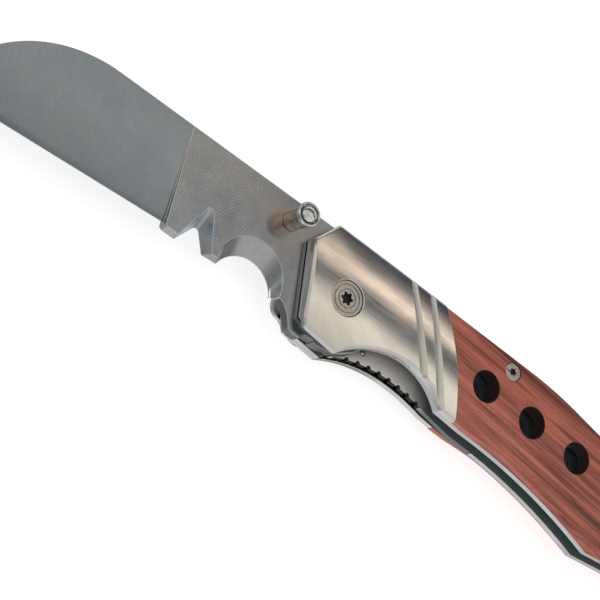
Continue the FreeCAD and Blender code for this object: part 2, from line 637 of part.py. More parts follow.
def pins_and_screws():
    stop = rod("stop_pin", PIN[0], PIN[1], "-" + SHELL, "pin_radius", "2 * " + SHELL)
    place(stop, PIN[0], PIN[1], "-" + SHELL)
    finish(stop, "stop_pin")
    for side, word in ((1, "front"), (-1, "back")):
        rivets = [rod("%s_rivet_%d" % (word, index), x, y, LINER, "rivet_radius",
                      "liner_thick + rivet_bury", side) for index, (x, y) in enumerate(RIVETS)]
        group(word + "_bolster_rivets", rivets)
        screws = [sunk_screw("%s_screw_%d" % (word, index), x, y, side)
                  for index, (x, y) in enumerate(SCREWS)]
        group(word + "_scale_screws", screws)


def spherical_head(name, x, y, low, radius, rise, side):
    """A low dome: a ball cut off by an upright cylinder."""
    ball_radius = "((%s) ^ 2 + (%s) ^ 2) / (2 * (%s))" % (radius, rise, rise)
    ball = doc.addObject("Part::Sphere", name + "_ball")
    bind(ball, "Radius", ball_radius)
    bind(ball, "Placement.Base.x", x)
    bind(ball, "Placement.Base.y", y)
    bind(ball, "Placement.Base.z", "%d * ((%s) + (%s) - (%s))" % (side, low, rise, ball_radius))
    return overlap(name, ball, rod(name + "_limit", x, y, low, radius, rise, side))


def clip():
    """A bent spring clip: a base plate with three lobes, and an arm that stands off."""
    body = new_body("pocket_clip")
    base = new_sketch(body, "clip_base", "-" + FACE)
    lobes = []
    draw(base, [("clip_three_x", "clip_three_y + clip_lobe", "clip_lobe", 1),
                ("clip_three_x - clip_lobe", "clip_three_y"),
                ("clip_one_x - clip_lobe", "clip_one_y", "clip_lobe", 1),
                ("clip_one_x", "clip_one_y - clip_lobe"),
                ("clip_low_x", "clip_low_y", "clip_lobe", 1), ("clip_side_x", "clip_side_y"),
                ("clip_ramp_x", "-clip_half_width"), ("clip_ramp_x", "clip_half_width"),
                ("clip_top_x", "clip_three_y + clip_lobe")])
    pad(body, base, "clip_thick", up=False)
    side_view = upright_sketch(body, "clip_bend", "0", "0", 0)
    foot = "-%s" % FACE
    arm = "(-%s - clip_stand)" % FACE
    kiss = "(-%s - clip_kiss)" % FACE
    heel = "clip_ramp_x - clip_heel"
    draw(side_view, [(heel, foot), (heel, foot + " - clip_thick"),
                     ("clip_ramp_x", foot + " - clip_thick"), ("clip_arm_x", arm + " - clip_thick"),
                     ("clip_bend_x", arm + " - clip_thick"),
                     ("clip_touch_x", kiss + " - clip_thick"),
                     ("clip_end_x", kiss + " - clip_thick - clip_flare"),
                     ("clip_lip_x", kiss + " - clip_lip"), ("clip_touch_x", kiss),
                     ("clip_bend_x", arm), ("clip_arm_x", arm), ("clip_ramp_x", foot)])
    feature = pad(body, side_view, "2 * clip_half_width")
    feature.SideType = "Symmetric"
    for way, sign in (("upper", "1"), ("lower", "-1")):
        turn = int(sign)
        corner = [("clip_arm_x", sign + " * clip_outside"),
                  ("clip_end_x + clip_half_width", sign + " * clip_outside"),
                  ("clip_end_x + clip_half_width", "0"),
                  ("clip_point_x", "0", "clip_round", turn),
                  ("clip_shoulder_x", sign + " * clip_shoulder_y")]
        sketch = new_sketch(body, "clip_taper_" + way)
        draw(sketch, corner)
        cut_through(body, sketch)
    drill(body, "clip_window_hole", [("0", "0", "clip_window")]
          + [(x, y, "screw_shank") for x, y in CLIP_SCREWS])
    screws = []
    top = "%s + clip_thick" % FACE
    for index, (x, y) in enumerate(CLIP_SCREWS):
        name = "clip_screw_%d" % index
        dome = spherical_head(name + "_dome", x, y, top, "clip_head", "clip_dome", -1)
        shank = rod(name + "_shank", x, y, "%s + clip_shank_gap" % SHELL, "screw_shank",
                    "%s - %s - clip_shank_gap" % (top, SHELL), -1)
        recess = star(name + "_star", x, y, "%s + clip_dome" % top, "small_star",
                      "clip_star_depth", -1)
        screws.append(minus(name, joined(name + "_blank", [dome, shank]), recess))
    group("clip_screws", screws)


# ---- blade ---------------------------------------------------------------------------

def blade():
    """The sheepsfoot blade with its two cutting bays, its tang and its grinds."""
    closed = "(pin_angle - closed_angle)"
    stop = ("pin_orbit * cos(%s)" % closed, "pin_orbit * sin(%s)" % closed)
    nodes = [("tip_x", "tip_y"), ("choil_x", "choil_y"), ("tooth_front_x", "tooth_y"),
             ("tooth_rear_x", "tooth_y"), ("fang_x", "fang_y"), ("bay_x", "bay_y"),
             ("brow_one_x", "brow_one_y"), ("brow_two_x", "brow_two_y"),
             ("brow_three_x", "brow_three_y"), ("kick_front_x", "kick_front_y"),
             ("kick_x", "kick_y"), (stop[0] + " - cradle_radius - cradle_land", "kick_y"),
             (stop[0] + " - cradle_radius", stop[1], "cradle_radius", -1),
             ("tang_radius * cos(%s)" % closed, "tang_radius * sin(%s)" % closed),
             ("tang_step_x", "tang_step_rise - tang_radius"),
             ("tang_foot_x", "-sqrt(tang_radius ^ 2 - tang_foot_x ^ 2)", "tang_radius", 1),
             ("tang_radius * cos(tang_middle)", "tang_radius * sin(tang_middle)",
              "tang_radius", 1),
             ("tang_radius * cos(pin_angle)", "tang_radius * sin(pin_angle)",
              "cradle_radius", -1),
             (PIN[0] + " + cradle_radius * cos(cradle_lip)",
              PIN[1] + " + cradle_radius * sin(cradle_lip)"),
             ("spine_rear_x", "spine_rear_y"),
             ("spine_bend_x", "spine_bend_y", "spine_radius", 1)]
    body = new_body("blade")
    outline = new_sketch(body, "blade_outline")
    draw(outline, nodes)
    feature = pad(body, outline, "blade_thick")
    feature.SideType = "Symmetric"
    doc.recompute()
    bevel = body.newObject("PartDesign::Chamfer", "blade_spine_chamfer")
    bevel.Base = (feature, edges_on(feature, lambda edge: (
        edge.Length > 2 * value("blade_thick")
        and any(abs(vertex.X - value("spine_bend_x")) < 0.01 for vertex in edge.Vertexes))))
    bind(bevel, "Size", "spine_chamfer")
    drill(body, "blade_pivot_hole", [("0", "0", "barrel_radius + pivot_clear")])

    heading = math.degrees(math.atan2(value("plunge_top_y - choil_y"),
                                      value("plunge_top_x - choil_x")))
    wedge = [("-grind_over", "edge_half"), ("0", "edge_half"), ("bevel_height", "bevel_half"),
             ("grind_height", "grind_half"), ("grind_height + grind_over", "blade_thick"),
             ("-grind_over", "blade_thick")]
    edge_run = Vector(value("tip_x - choil_x"), value("tip_y - choil_y"), 0).normalize()
    for word, sign in (("front", "1"), ("back", "-1")):
        grind = upright_sketch(body, "blade_grind_" + word, "plunge_low_x", "plunge_low_y", heading)
        draw(grind, [(x, "%s * (%s)" % (sign, y)) for x, y in wedge])
        cut = body.newObject("PartDesign::Pocket", "blade_grind_%s_cut" % word)
        cut.Profile = grind
        cut.UseCustomVector = True
        cut.Direction = edge_run
        bind(cut, "Length", "-tip_x")

    round_ends = []
    vee_ends = []
    for word, sign in (("front", "1"), ("back", "-1")):
        ring = new_sketch(body, "blade_bay_" + word, sign + " * bay_reach")
        draw_circle(ring, "bay_%s_x" % word, "bay_%s_y" % word, "bay_%s_radius" % word)
        round_ends.append(ring)
        vee = new_sketch(body, "blade_vee_" + word, sign + " * bay_reach")
        draw(vee, [("vee_front_x", "vee_open_y"), ("vee_rear_x", "vee_open_y"),
                   ("vee_right_x", "vee_%s_y" % word, "vee_%s_radius" % word, 1),
                   ("vee_left_x", "vee_%s_y" % word)])
        vee_ends.append(vee)
    for name, ends in (("blade_round_bay", round_ends), ("blade_vee_bay", vee_ends)):
        loft = body.newObject("PartDesign::SubtractiveLoft", name)
        loft.Profile = ends[0]
        loft.Sections = [ends[1]]
        loft.Ruled = True

    relief = new_sketch(body, "blade_relief", "-" + FLAT)
    start = "relief_start"
    middle = "(relief_start + relief_sweep / 2)"
    end = "(relief_start + relief_sweep)"
    inner = "(tang_radius - relief_inset)"
    draw(relief, [("%s * cos(%s)" % (inner, start), "%s * sin(%s)" % (inner, start), inner, 1),
                  ("%s * cos(%s)" % (inner, end), "%s * sin(%s)" % (inner, end)),
                  ("relief_outer * cos(%s)" % end, "relief_outer * sin(%s)" % end,
                   "relief_outer", -1),
                  ("relief_outer * cos(%s)" % start, "relief_outer * sin(%s)" % start)])
    pocket(body, relief, "relief_depth", up=True)

    stud_hole = new_sketch(body, "blade_stud_hole")
    draw_circle(stud_hole, "stud_x", "stud_y", "stud_thread")
    cut_through(body, stud_hole)
    countersink = new_sketch(body, "blade_stud_seat", "-" + FLAT)
    draw_circle(countersink, "stud_x", "stud_y", "stud_head")
    pocket(body, countersink, "stud_head_thick", up=True)


def thumb_stud():
    top = "(%s + stud_height)" % FLAT
    barrel = rod("stud_tube", "stud_x", "stud_y", FLAT, "stud_radius", "stud_height")
    bore = rod("stud_bore", "stud_x", "stud_y", "0", "stud_thread", "%s - stud_web" % top)
    single(minus("thumb_stud", barrel, bore), "thumb_stud")
    rim = rod("cap_rim", "stud_x", "stud_y", top, "stud_cap", "stud_rim")
    floor = "%s + stud_rim - stud_dish" % top
    dish = rod("cap_dish", "stud_x", "stud_y", floor, "stud_dish_radius", "stud_rim")
    dome = spherical_head("cap_dome", "stud_x", "stud_y", floor, "stud_dome_radius",
                          "stud_dome + stud_dish", 1)
    single(joined("stud_cap", [minus("cap_ring", rim, dish), dome]), "stud_cap")
    head = rod("stud_screw_head", "stud_x", "stud_y", "%s - stud_head_thick" % FLAT, "stud_head",
               "stud_head_thick - stud_sunk", -1)
    stem = rod("stud_screw_stem", "stud_x", "stud_y", "stud_head_thick - %s" % FLAT,
               "stud_thread", "%s - stud_web - stud_gap + %s - stud_head_thick" % (top, FLAT))
    recess = star("stud_screw_star", "stud_x", "stud_y", "%s - stud_sunk" % FLAT, "small_star",
                  "small_star_depth", -1)
    single(minus("stud_screw", joined("stud_screw_blank", [head, stem]), recess), "stud_screw")


blade()
thumb_stud()
pivot()
washers()
front_liner()
back_liner()
lock_bar()
back_spacer()
for hand in (1, -1):
    bolster(hand)
    scale(hand)
pins_and_screws()
clip()
doc.recompute()

for item in doc.Objects:
    if "Invalid" in item.State or "Error" in item.State:
        raise RuntimeError("%s did not build: %s" % (item.Label, item.State))
os.makedirs("parts", exist_ok=True)
for part in parts:
    shape = part.Shape
    if shape.isNull() or not shape.isValid():
        raise RuntimeError("%s has no valid shape" % part.Label)
    shape.exportStep("parts/%s.step" % part.Label)
    print("%-24s %2d solids %9.2f mm3" % (part.Label, len(shape.Solids), shape.Volume))
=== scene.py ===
# %% [markdown]
# # A folding grafting knife
# The knife lies open: a sheepsfoot blade with two hooked cutting bays, satin steel
# bolsters, drilled red wood sides, a leaf lock and a pocket clip. The exact solids come
# from the CAD frame. This lesson gives each piece its worked edges, its crown and its
# finish, and then sets the floor, the light and the camera.

# %% Load the frame
import json
import math

import bmesh
import bpy
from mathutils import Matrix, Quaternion, Vector


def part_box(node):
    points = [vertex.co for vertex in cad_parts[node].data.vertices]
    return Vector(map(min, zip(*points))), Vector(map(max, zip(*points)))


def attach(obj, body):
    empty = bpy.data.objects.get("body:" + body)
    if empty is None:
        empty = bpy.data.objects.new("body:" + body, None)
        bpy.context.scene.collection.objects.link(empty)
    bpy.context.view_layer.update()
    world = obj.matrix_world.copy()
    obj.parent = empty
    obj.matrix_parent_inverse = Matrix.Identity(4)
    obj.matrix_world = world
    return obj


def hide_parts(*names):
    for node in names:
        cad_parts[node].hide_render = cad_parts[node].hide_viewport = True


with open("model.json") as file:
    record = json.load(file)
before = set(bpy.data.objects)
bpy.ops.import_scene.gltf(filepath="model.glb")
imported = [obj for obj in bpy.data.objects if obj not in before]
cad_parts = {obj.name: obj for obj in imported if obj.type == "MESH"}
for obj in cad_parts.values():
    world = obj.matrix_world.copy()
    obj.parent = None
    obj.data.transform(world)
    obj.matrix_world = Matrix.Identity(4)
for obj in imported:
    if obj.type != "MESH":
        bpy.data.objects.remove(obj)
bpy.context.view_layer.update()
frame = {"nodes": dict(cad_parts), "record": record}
MM = 0.001

# %% [markdown]
# ## Measures shared by the pieces
# Every place is worked out from the CAD boxes. The pivot screw stands on the pivot axis,
# the blade's middle plane is halfway up the blade, and the handle's faces are the tops of
# the bolsters. All later cells use these few values.

# %% Measures
def middle(node):
    """The middle of a node's box."""
    low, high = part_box(node)
    return (Vector(low) + Vector(high)) / 2


PIVOT = middle("pivot_screw")
STUD = middle("thumb_stud")
BLADE_MID = middle("blade").z
FRONT_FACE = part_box("front_bolster")[1][2]
BACK_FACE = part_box("back_bolster")[0][2]
LINER_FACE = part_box("front_liner")[1][2]
BACK_LINER_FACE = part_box("back_liner")[0][2]
print("pivot at", PIVOT, "front face", round(FRONT_FACE / MM, 3), "mm")

# %% [markdown]
# ## Shader nodes in a few lines
# A material is a graph. These helpers add a node, set its values and join its sockets, so
# that each finish below reads as a short list of steps. A shared effect is a node group:
# built once, with named inputs, and placed in each material with its own values.

# %% Node helpers
def add_node(tree, kind, values=None, links=None, **settings):
    """Adds a node, sets its properties and values, and links sockets into it."""
    node = tree.nodes.new(kind)
    for name, setting in settings.items():
        setattr(node, name, setting)
    for socket, number in (values or {}).items():
        node.inputs[socket].default_value = number
    for socket, source in (links or {}).items():
        tree.links.new(source, node.inputs[socket])
    return node


def maths(tree, operation, first, second=None, third=None):
    """A Math node on numbers or sockets; gives its output socket."""
    node = add_node(tree, "ShaderNodeMath", operation=operation)
    for slot, item in enumerate((first, second, third)):
        if isinstance(item, bpy.types.NodeSocket):
            tree.links.new(item, node.inputs[slot])
        elif item is not None:
            node.inputs[slot].default_value = item
    return node.outputs[0]


def blend(tree, mask, first, second):
    """Mixes two colours, each a socket or a tuple, by a mask."""
    node = add_node(tree, "ShaderNodeMix", data_type="RGBA")
    inlets = (node.inputs[0], node.inputs[6], node.inputs[7])
    for socket, item in zip(inlets, (mask, first, second)):
        if isinstance(item, bpy.types.NodeSocket):
            tree.links.new(item, socket)
        else:
            socket.default_value = item if isinstance(item, float) else (*item, 1.0)
    return node.outputs[2]


def span(tree, source, low, high, to_low=0.0, to_high=1.0):
    """Stretches a value from one range to another, and clamps it."""
    node = add_node(tree, "ShaderNodeMapRange", links={0: source},
                    values={1: low, 2: high, 3: to_low, 4: to_high})
    return node.outputs[0]


def noise(tree, where, scale, detail=4.0, roughness=0.5, distortion=0.0):
    """Fractal noise at a place; gives its value socket."""
    node = add_node(tree, "ShaderNodeTexNoise", links={"Vector": where},
                    values={"Scale": scale, "Detail": detail, "Roughness": roughness,
                            "Distortion": distortion})
    return node.outputs[0]


def stretched(tree, where, scale, turn=0.0):
    """Turns space about Z and then scales it unevenly, so that noise runs in lines."""
    turned = add_node(tree, "ShaderNodeVectorRotate", rotation_type="Z_AXIS",
                      links={"Vector": where}, values={"Angle": turn})
    return add_node(tree, "ShaderNodeVectorMath", operation="MULTIPLY",
                    links={0: turned.outputs[0]}, values={1: scale}).outputs[0]


def new_group(name, inputs, outputs):
    """Starts a node group; gives its tree, its input sockets and its output node."""
    tree = bpy.data.node_groups.new(name, "ShaderNodeTree")
    for label, kind, default in inputs:
        socket = tree.interface.new_socket(label, in_out="INPUT", socket_type=kind)
        socket.default_value = default
    for label, kind in outputs:
        tree.interface.new_socket(label, in_out="OUTPUT", socket_type=kind)
    start = tree.nodes.new("NodeGroupInput")
    return tree, start.outputs, tree.nodes.new("NodeGroupOutput")


def place_group(tree, group, **values):
    """Places a node group in a material with its own numbers."""
    node = add_node(tree, "ShaderNodeGroup", node_tree=group)
    for label, number in values.items():
        node.inputs[label.replace("_", " ").capitalize()].default_value = number
    return node.outputs


FLOAT, VECTOR = "NodeSocketFloat", "NodeSocketVector"
print("node helpers ready, for sockets", FLOAT, "and", VECTOR)

# %% [markdown]
# ## Brushed lines
# Satin steel is rubbed in one direction with an abrasive belt. The lines are noise that is
# stretched a hundredfold along the rubbing. The group gives a height for the bump and a
# mask that varies the roughness a little, so the sheen breaks up.

# %% Brushed lines group
def make_brushed():
    """Fine parallel scratches along X, turned by an angle."""
    tree, given, result = new_group(
        "brushed lines",
        [("Density", FLOAT, 4000.0), ("Turn", FLOAT, 0.0), ("Stretch", FLOAT, 0.02)],
        [("Height", FLOAT), ("Mask", FLOAT)])
    where = add_node(tree, "ShaderNodeTexCoord").outputs["Object"]
    turned = add_node(tree, "ShaderNodeVectorRotate", rotation_type="Z_AXIS",
                      links={"Vector": where, "Angle": given["Turn"]})
    along = add_node(tree, "ShaderNodeCombineXYZ", links={"X": given["Stretch"]},
                     values={"Y": 1.0, "Z": 1.0})
    lines = add_node(tree, "ShaderNodeVectorMath", operation="MULTIPLY",
                     links={0: turned.outputs[0], 1: along.outputs[0]})
    fine = add_node(tree, "ShaderNodeTexNoise",
                    links={"Vector": lines.outputs[0], "Scale": given["Density"]},
                    values={"Detail": 3.0, "Roughness": 0.6})
    tree.links.new(fine.outputs[0], result.inputs["Height"])
    tree.links.new(span(tree, fine.outputs[0], 0.3, 0.7), result.inputs["Mask"])
    return tree


BRUSHED = make_brushed()
print("brushed lines:", len(BRUSHED.nodes), "nodes")

# %% [markdown]
# ## Clouds
# Handled steel is never even: thin films of oil and uneven polishing leave soft clouds.
# One noise with finer and finer layers makes them. Its middle range is stretched to full
# contrast, and the group gives it as one mask.

# %% Clouds group
def make_clouds():
    """Soft uneven patches."""
    tree, given, result = new_group("clouds", [("Size", FLOAT, 0.02)], [("Mask", FLOAT)])
    where = add_node(tree, "ShaderNodeTexCoord").outputs["Object"]
    scale = maths(tree, "DIVIDE", 1.0, given["Size"])
    broad = add_node(tree, "ShaderNodeTexNoise", links={"Vector": where, "Scale": scale},
                     values={"Detail": 5.0, "Roughness": 0.62, "Distortion": 0.6})
    tree.links.new(span(tree, broad.outputs[0], 0.36, 0.66), result.inputs["Mask"])
    return tree


CLOUDS = make_clouds()
print("clouds:", len(CLOUDS.nodes), "nodes")

# %% [markdown]
# ## Painted edge highlights
# Corners are given a painted highlight. The Bevel node gives the normal that a rounded corner
# would have; where it leans away from the true normal there is an edge. The group gives that
# mask and the rounded normal, so even a hard CAD corner catches a thin line of light.

# %% Edge highlight group
def make_edge_highlight():
    """A mask for a painted highlight along corners, and the rounded normal there."""
    tree, given, result = new_group("edge highlight", [("Width", FLOAT, 0.00015)],
                                    [("Mask", FLOAT), ("Normal", VECTOR)])
    rounded = add_node(tree, "ShaderNodeBevel", samples=6, links={"Radius": given["Width"]})
    true = add_node(tree, "ShaderNodeNewGeometry").outputs["Normal"]
    lean = add_node(tree, "ShaderNodeVectorMath", operation="DOT_PRODUCT",
                    links={0: rounded.outputs[0], 1: true})
    tree.links.new(span(tree, lean.outputs["Value"], 0.995, 0.9), result.inputs["Mask"])
    tree.links.new(rounded.outputs[0], result.inputs["Normal"])
    return tree


EDGE_HIGHLIGHT = make_edge_highlight()
print("edge highlight:", len(EDGE_HIGHLIGHT.nodes), "nodes")

# %% [markdown]
# ## Painted shade in closed places
# Closed places are painted dark, as shade: the star recesses, the gaps between the liners and
# the roots of the notches. Ambient occlusion measures how closed in a point is, and the group
# turns that into a mask for the painted shade.

# %% Closed shade group
def make_closed_shade():
    """A mask of painted shade that is high in closed corners."""
    tree, given, result = new_group("grime", [("Reach", FLOAT, 0.003)], [("Mask", FLOAT)])
    closed = add_node(tree, "ShaderNodeAmbientOcclusion", samples=6,
                      links={"Distance": given["Reach"]})
    tree.links.new(span(tree, closed.outputs["AO"], 0.8, 0.3), result.inputs["Mask"])
    return tree


CLOSED_SHADE = make_closed_shade()
print("grime:", len(CLOSED_SHADE.nodes), "nodes")

# %% [markdown]
# ## A start for each material
# Every finish here is one Principled shader. The helper makes it with its constant values
# on its own sockets, and each finish then links what varies over the surface.

# %% Material start
def new_finish(name, **values):
    """A material with one Principled shader; gives the material, its tree and the shader."""
    finish = bpy.data.materials.new(name)
    finish.use_nodes = True
    tree = finish.node_tree
    shader = tree.nodes["Principled BSDF"]
    for label, number in values.items():
        shader.inputs[label.replace("_", " ")].default_value = number
    return finish, tree, shader


def bump(tree, shader, height, strength, distance, normal=None):
    """Links a height into the shader's normal."""
    links = {"Height": height}
    if normal is not None:
        links["Normal"] = normal
    node = add_node(tree, "ShaderNodeBump", links=links,
                    values={"Strength": strength, "Distance": distance})
    tree.links.new(node.outputs[0], shader.inputs["Normal"])


print("material start ready")

# %% [markdown]
# ## Rubbed steels
# Bolsters, plates, screws and clip are all steel, and differ in how they were rubbed. One helper
# makes them from the same effects: two tones in clouds, a painted highlight on corners, painted
# shade in closed places and scratches in one direction. Past a given place along the knife a
# plate turns to a slate tone, which is painted shade. The bolsters are also a little rougher at
# the nose, and swell slowly, as a belt leaves them.

# %% Rubbed steel helper
# The slate tone and the two near-black tones below are painted shade, and the corner gain
# brightens a painted highlight.
SLATE_SHADE = (0.16, 0.18, 0.19)
CLOSED_SHADE_TONE = (0.02, 0.018, 0.02)
LEAF_SHADE_TONE = (0.05, 0.06, 0.075)
PAST_THE_KNIFE = 10.0
SHADE_FADE = 6 * MM
HIGHLIGHT_GAIN = 1.35
SCRATCH_DEPTH = 0.02 * MM
SWELLS_PER_METRE = 75.0


def steel(name, bright, dull, density, stretch, rough, cloud_size, edge_width, relief,
          grime=1.5 * MM, metal=1.0, swell=0.0, rough_nose=0.0, shade_tone=CLOSED_SHADE_TONE,
          shade_from=PAST_THE_KNIFE):
    """Rubbed steel: two tones in clouds, painted highlights on corners, painted shade in closed
    places and past a place along the knife, fine scratches and a slow swell.
    """
    finish, tree, shader = new_finish(name)
    lines = place_group(tree, BRUSHED, density=density, stretch=stretch)
    cloud = place_group(tree, CLOUDS, size=cloud_size)["Mask"]
    edge = place_group(tree, EDGE_HIGHLIGHT, width=edge_width)
    tone = blend(tree, cloud, dull, bright)
    # Painted highlight: corners are mixed to a brighter tone, and further down they are made
    # less metallic.
    corner = tuple(min(1.0, part * HIGHLIGHT_GAIN) for part in bright)
    tone = blend(tree, edge["Mask"], tone, corner)
    where = add_node(tree, "ShaderNodeTexCoord").outputs["Object"]
    along = add_node(tree, "ShaderNodeSeparateXYZ", links={0: where}).outputs["X"]
    # Painted shade: past a place along the knife, the tone turns to slate.
    tone = blend(tree, span(tree, along, shade_from, shade_from + SHADE_FADE), tone, SLATE_SHADE)
    # Painted shade in closed places, from ambient occlusion.
    shade_mask = place_group(tree, CLOSED_SHADE, reach=grime)["Mask"]
    tone = blend(tree, shade_mask, tone, shade_tone)
    tree.links.new(tone, shader.inputs["Base Color"])
    tree.links.new(maths(tree, "MULTIPLY_ADD", edge["Mask"], -0.4 * metal, metal),
                   shader.inputs["Metallic"])
    film = maths(tree, "MULTIPLY_ADD", cloud, -0.05, rough + 0.05)
    grit = maths(tree, "MULTIPLY_ADD", lines["Mask"], 0.06, film)
    coarse = span(tree, along, PIVOT.x + 4 * MM, PIVOT.x - 10 * MM, 0.0, rough_nose)
    tree.links.new(maths(tree, "ADD", grit, coarse), shader.inputs["Roughness"])
    swells = noise(tree, where, SWELLS_PER_METRE, 1.0)
    slow = add_node(tree, "ShaderNodeBump", links={"Height": swells, "Normal": edge["Normal"]},
                    values={"Strength": 1.0, "Distance": swell})
    bump(tree, shader, lines["Height"], relief, SCRATCH_DEPTH, slow.outputs[0])
    return finish


print("steel helper ready; swells are", 1 / SWELLS_PER_METRE, "m long")

# %% [markdown]
# ## The steels of the knife
# Each steel is its two tones and a few measures. The bolsters are long brushed, the plates
# are stamped and matt, the screws are turned, and the stud and clip are polished.

# %% Steels
SATIN = steel("satin steel", (0.74, 0.72, 0.68), (0.62, 0.61, 0.585), density=5200.0,
              stretch=0.02, rough=0.08, cloud_size=20 * MM, edge_width=0.25 * MM, relief=0.16,
              swell=0.1 * MM, rough_nose=0.02)
PLATE = steel("liner steel", (0.72, 0.72, 0.72), (0.55, 0.56, 0.57), density=3000.0,
              stretch=0.3, rough=0.35, cloud_size=10 * MM, edge_width=0.12 * MM, relief=0.4,
              grime=0.6 * MM, metal=0.45)
LEAF = steel("lock leaf steel", (0.9, 0.88, 0.82), (0.76, 0.75, 0.71), density=3000.0,
             stretch=0.3, rough=0.3, cloud_size=10 * MM, edge_width=0.2 * MM, relief=0.4,
             grime=4.2 * MM, metal=0.4, shade_tone=LEAF_SHADE_TONE, shade_from=PIVOT.x + 25 * MM)
# Painted shade: a dark copy of the liner steel, for the faces inside the slot.
SHADED = steel("shaded liner steel", SLATE_SHADE, (0.12, 0.135, 0.145), density=3000.0,
               stretch=0.3, rough=0.4, cloud_size=10 * MM, edge_width=0.1 * MM, relief=0.4,
               grime=0.4 * MM, metal=0.3)
DARK_PLATE = steel("spacer steel", (0.2, 0.21, 0.24), (0.12, 0.13, 0.15), density=3000.0,
                   stretch=0.3, rough=0.4, cloud_size=10 * MM, edge_width=0.1 * MM,
                   relief=0.4)
POLISHED = steel("polished steel", (0.78, 0.77, 0.76), (0.66, 0.64, 0.62), density=6000.0,
                 stretch=1.0, rough=0.06, cloud_size=6 * MM, edge_width=0.08 * MM,
                 relief=0.05)
TURNED = steel("turned steel", (0.62, 0.61, 0.58), (0.48, 0.47, 0.45), density=6000.0,
               stretch=1.0, rough=0.22, cloud_size=4 * MM, edge_width=0.08 * MM, relief=0.2,
               grime=0.3 * MM)
STUD_STEEL = steel("stud steel", (0.7, 0.66, 0.62), (0.3, 0.24, 0.2), density=2500.0,
                   stretch=1.0, rough=0.12, cloud_size=3.5 * MM, edge_width=0.1 * MM,
                   relief=0.3, grime=0.4 * MM)
CHROME = steel("chrome", (0.86, 0.88, 0.92), (0.5, 0.49, 0.5), density=4000.0, stretch=1.0,
               rough=0.03, cloud_size=1.2 * MM, edge_width=0.08 * MM, relief=0.2,
               grime=0.7 * MM)
print("steels ready")

# %% [markdown]
# ## Closed recesses
# The star recesses and the drilled holes are narrow and deep, and their walls are painted nearly
# black, as shade. They get a plain dark finish of their own, painted shade: brown for holes in
# the handle, and black for the driver recesses.

# %% Recess finishes
FLECK_GAIN = 2.2


def shade_lining(name, tone):
    """A dark and dull lining: painted shade."""
    finish, tree, shader = new_finish(name, Roughness=0.7, Metallic=0.0)
    where = add_node(tree, "ShaderNodeTexCoord").outputs["Object"]
    fleck = span(tree, noise(tree, where, 2500.0, 3.0), 0.4, 0.75)
    tone = blend(tree, fleck, tone, tuple(part * FLECK_GAIN for part in tone))
    tree.links.new(tone, shader.inputs["Base Color"])
    return finish


# Both linings are painted shade: near black in the driver recesses, dark brown in the holes.
RECESS_SHADE = shade_lining("driver recess", (0.012, 0.012, 0.013))
BORE_SHADE = shade_lining("hole lining", (0.022, 0.008, 0.007))
print("recess finishes ready")

# %% [markdown]
# ## Wheel arcs
# A cup wheel leaves families of shallow arcs on flat ground steel. There is one family of
# rings about a centre on each side of a dividing place along the blade. The border between
# them is ragged, and noise breaks the rings up. The group gives their height.

# %% Wheel arcs group
def make_wheel_arcs():
    """Arcs about one centre on each side of a dividing place along the blade."""
    tree, given, result = new_group(
        "wheel arcs", [("Pitch", FLOAT, 0.0004), ("First centre", VECTOR, (0.0, 0.0, 0.0)),
                       ("Second centre", VECTOR, (0.0, 0.0, 0.0)), ("Divide at", FLOAT, 0.0)],
        [("Height", FLOAT)])
    where = add_node(tree, "ShaderNodeTexCoord").outputs["Object"]
    waver = noise(tree, where, 160.0, 2.0)
    rings = []
    for label in ("First centre", "Second centre"):
        away = add_node(tree, "ShaderNodeVectorMath", operation="DISTANCE",
                        links={0: where, 1: given[label]}).outputs["Value"]
        turns = maths(tree, "DIVIDE", away, given["Pitch"])
        loose = maths(tree, "MULTIPLY_ADD", waver, 0.8, turns)
        rings.append(maths(tree, "SINE", maths(tree, "MULTIPLY", loose, math.tau)))
    along = add_node(tree, "ShaderNodeSeparateXYZ", links={0: where}).outputs["X"]
    ragged = maths(tree, "MULTIPLY_ADD", noise(tree, where, 200.0, 2.0), 6 * MM, along)
    past = maths(tree, "SUBTRACT", ragged, given["Divide at"])
    pick = span(tree, past, 2 * MM, 4 * MM)
    both = add_node(tree, "ShaderNodeMix", links={0: pick, 2: rings[0], 3: rings[1]})
    fade = span(tree, noise(tree, where, 240.0, 3.0), 0.4, 0.62)
    height = maths(tree, "MULTIPLY", both.outputs[0], fade)
    tree.links.new(height, result.inputs["Height"])
    return tree


WHEEL_ARCS = make_wheel_arcs()
print("wheel arcs:", len(WHEEL_ARCS.nodes), "nodes")

# %% [markdown]
# ## Blade steels
# The blade is a plain ground steel that has been handled: a bluish film lies over it in
# clouds, and the steel round the thumb stud is stained warm. The flat keeps the wheel's
# arcs, which show both as relief and as faint changes of tone.

# %% Blade steel helper
# The low tone is painted shade, and the corner tone a painted highlight.
LINE_TONE = (0.75, 0.77, 0.8)
ARC_TONE = (0.68, 0.71, 0.75)
LOW_SHADE_TONE = (0.1, 0.12, 0.14)
STUD_STAIN = (0.5, 0.4, 0.32)
EDGE_HIGHLIGHT_TONE = (0.9, 0.88, 0.84)
FILM_SHARE = 0.6
BLADE_RELIEF = 0.01 * MM


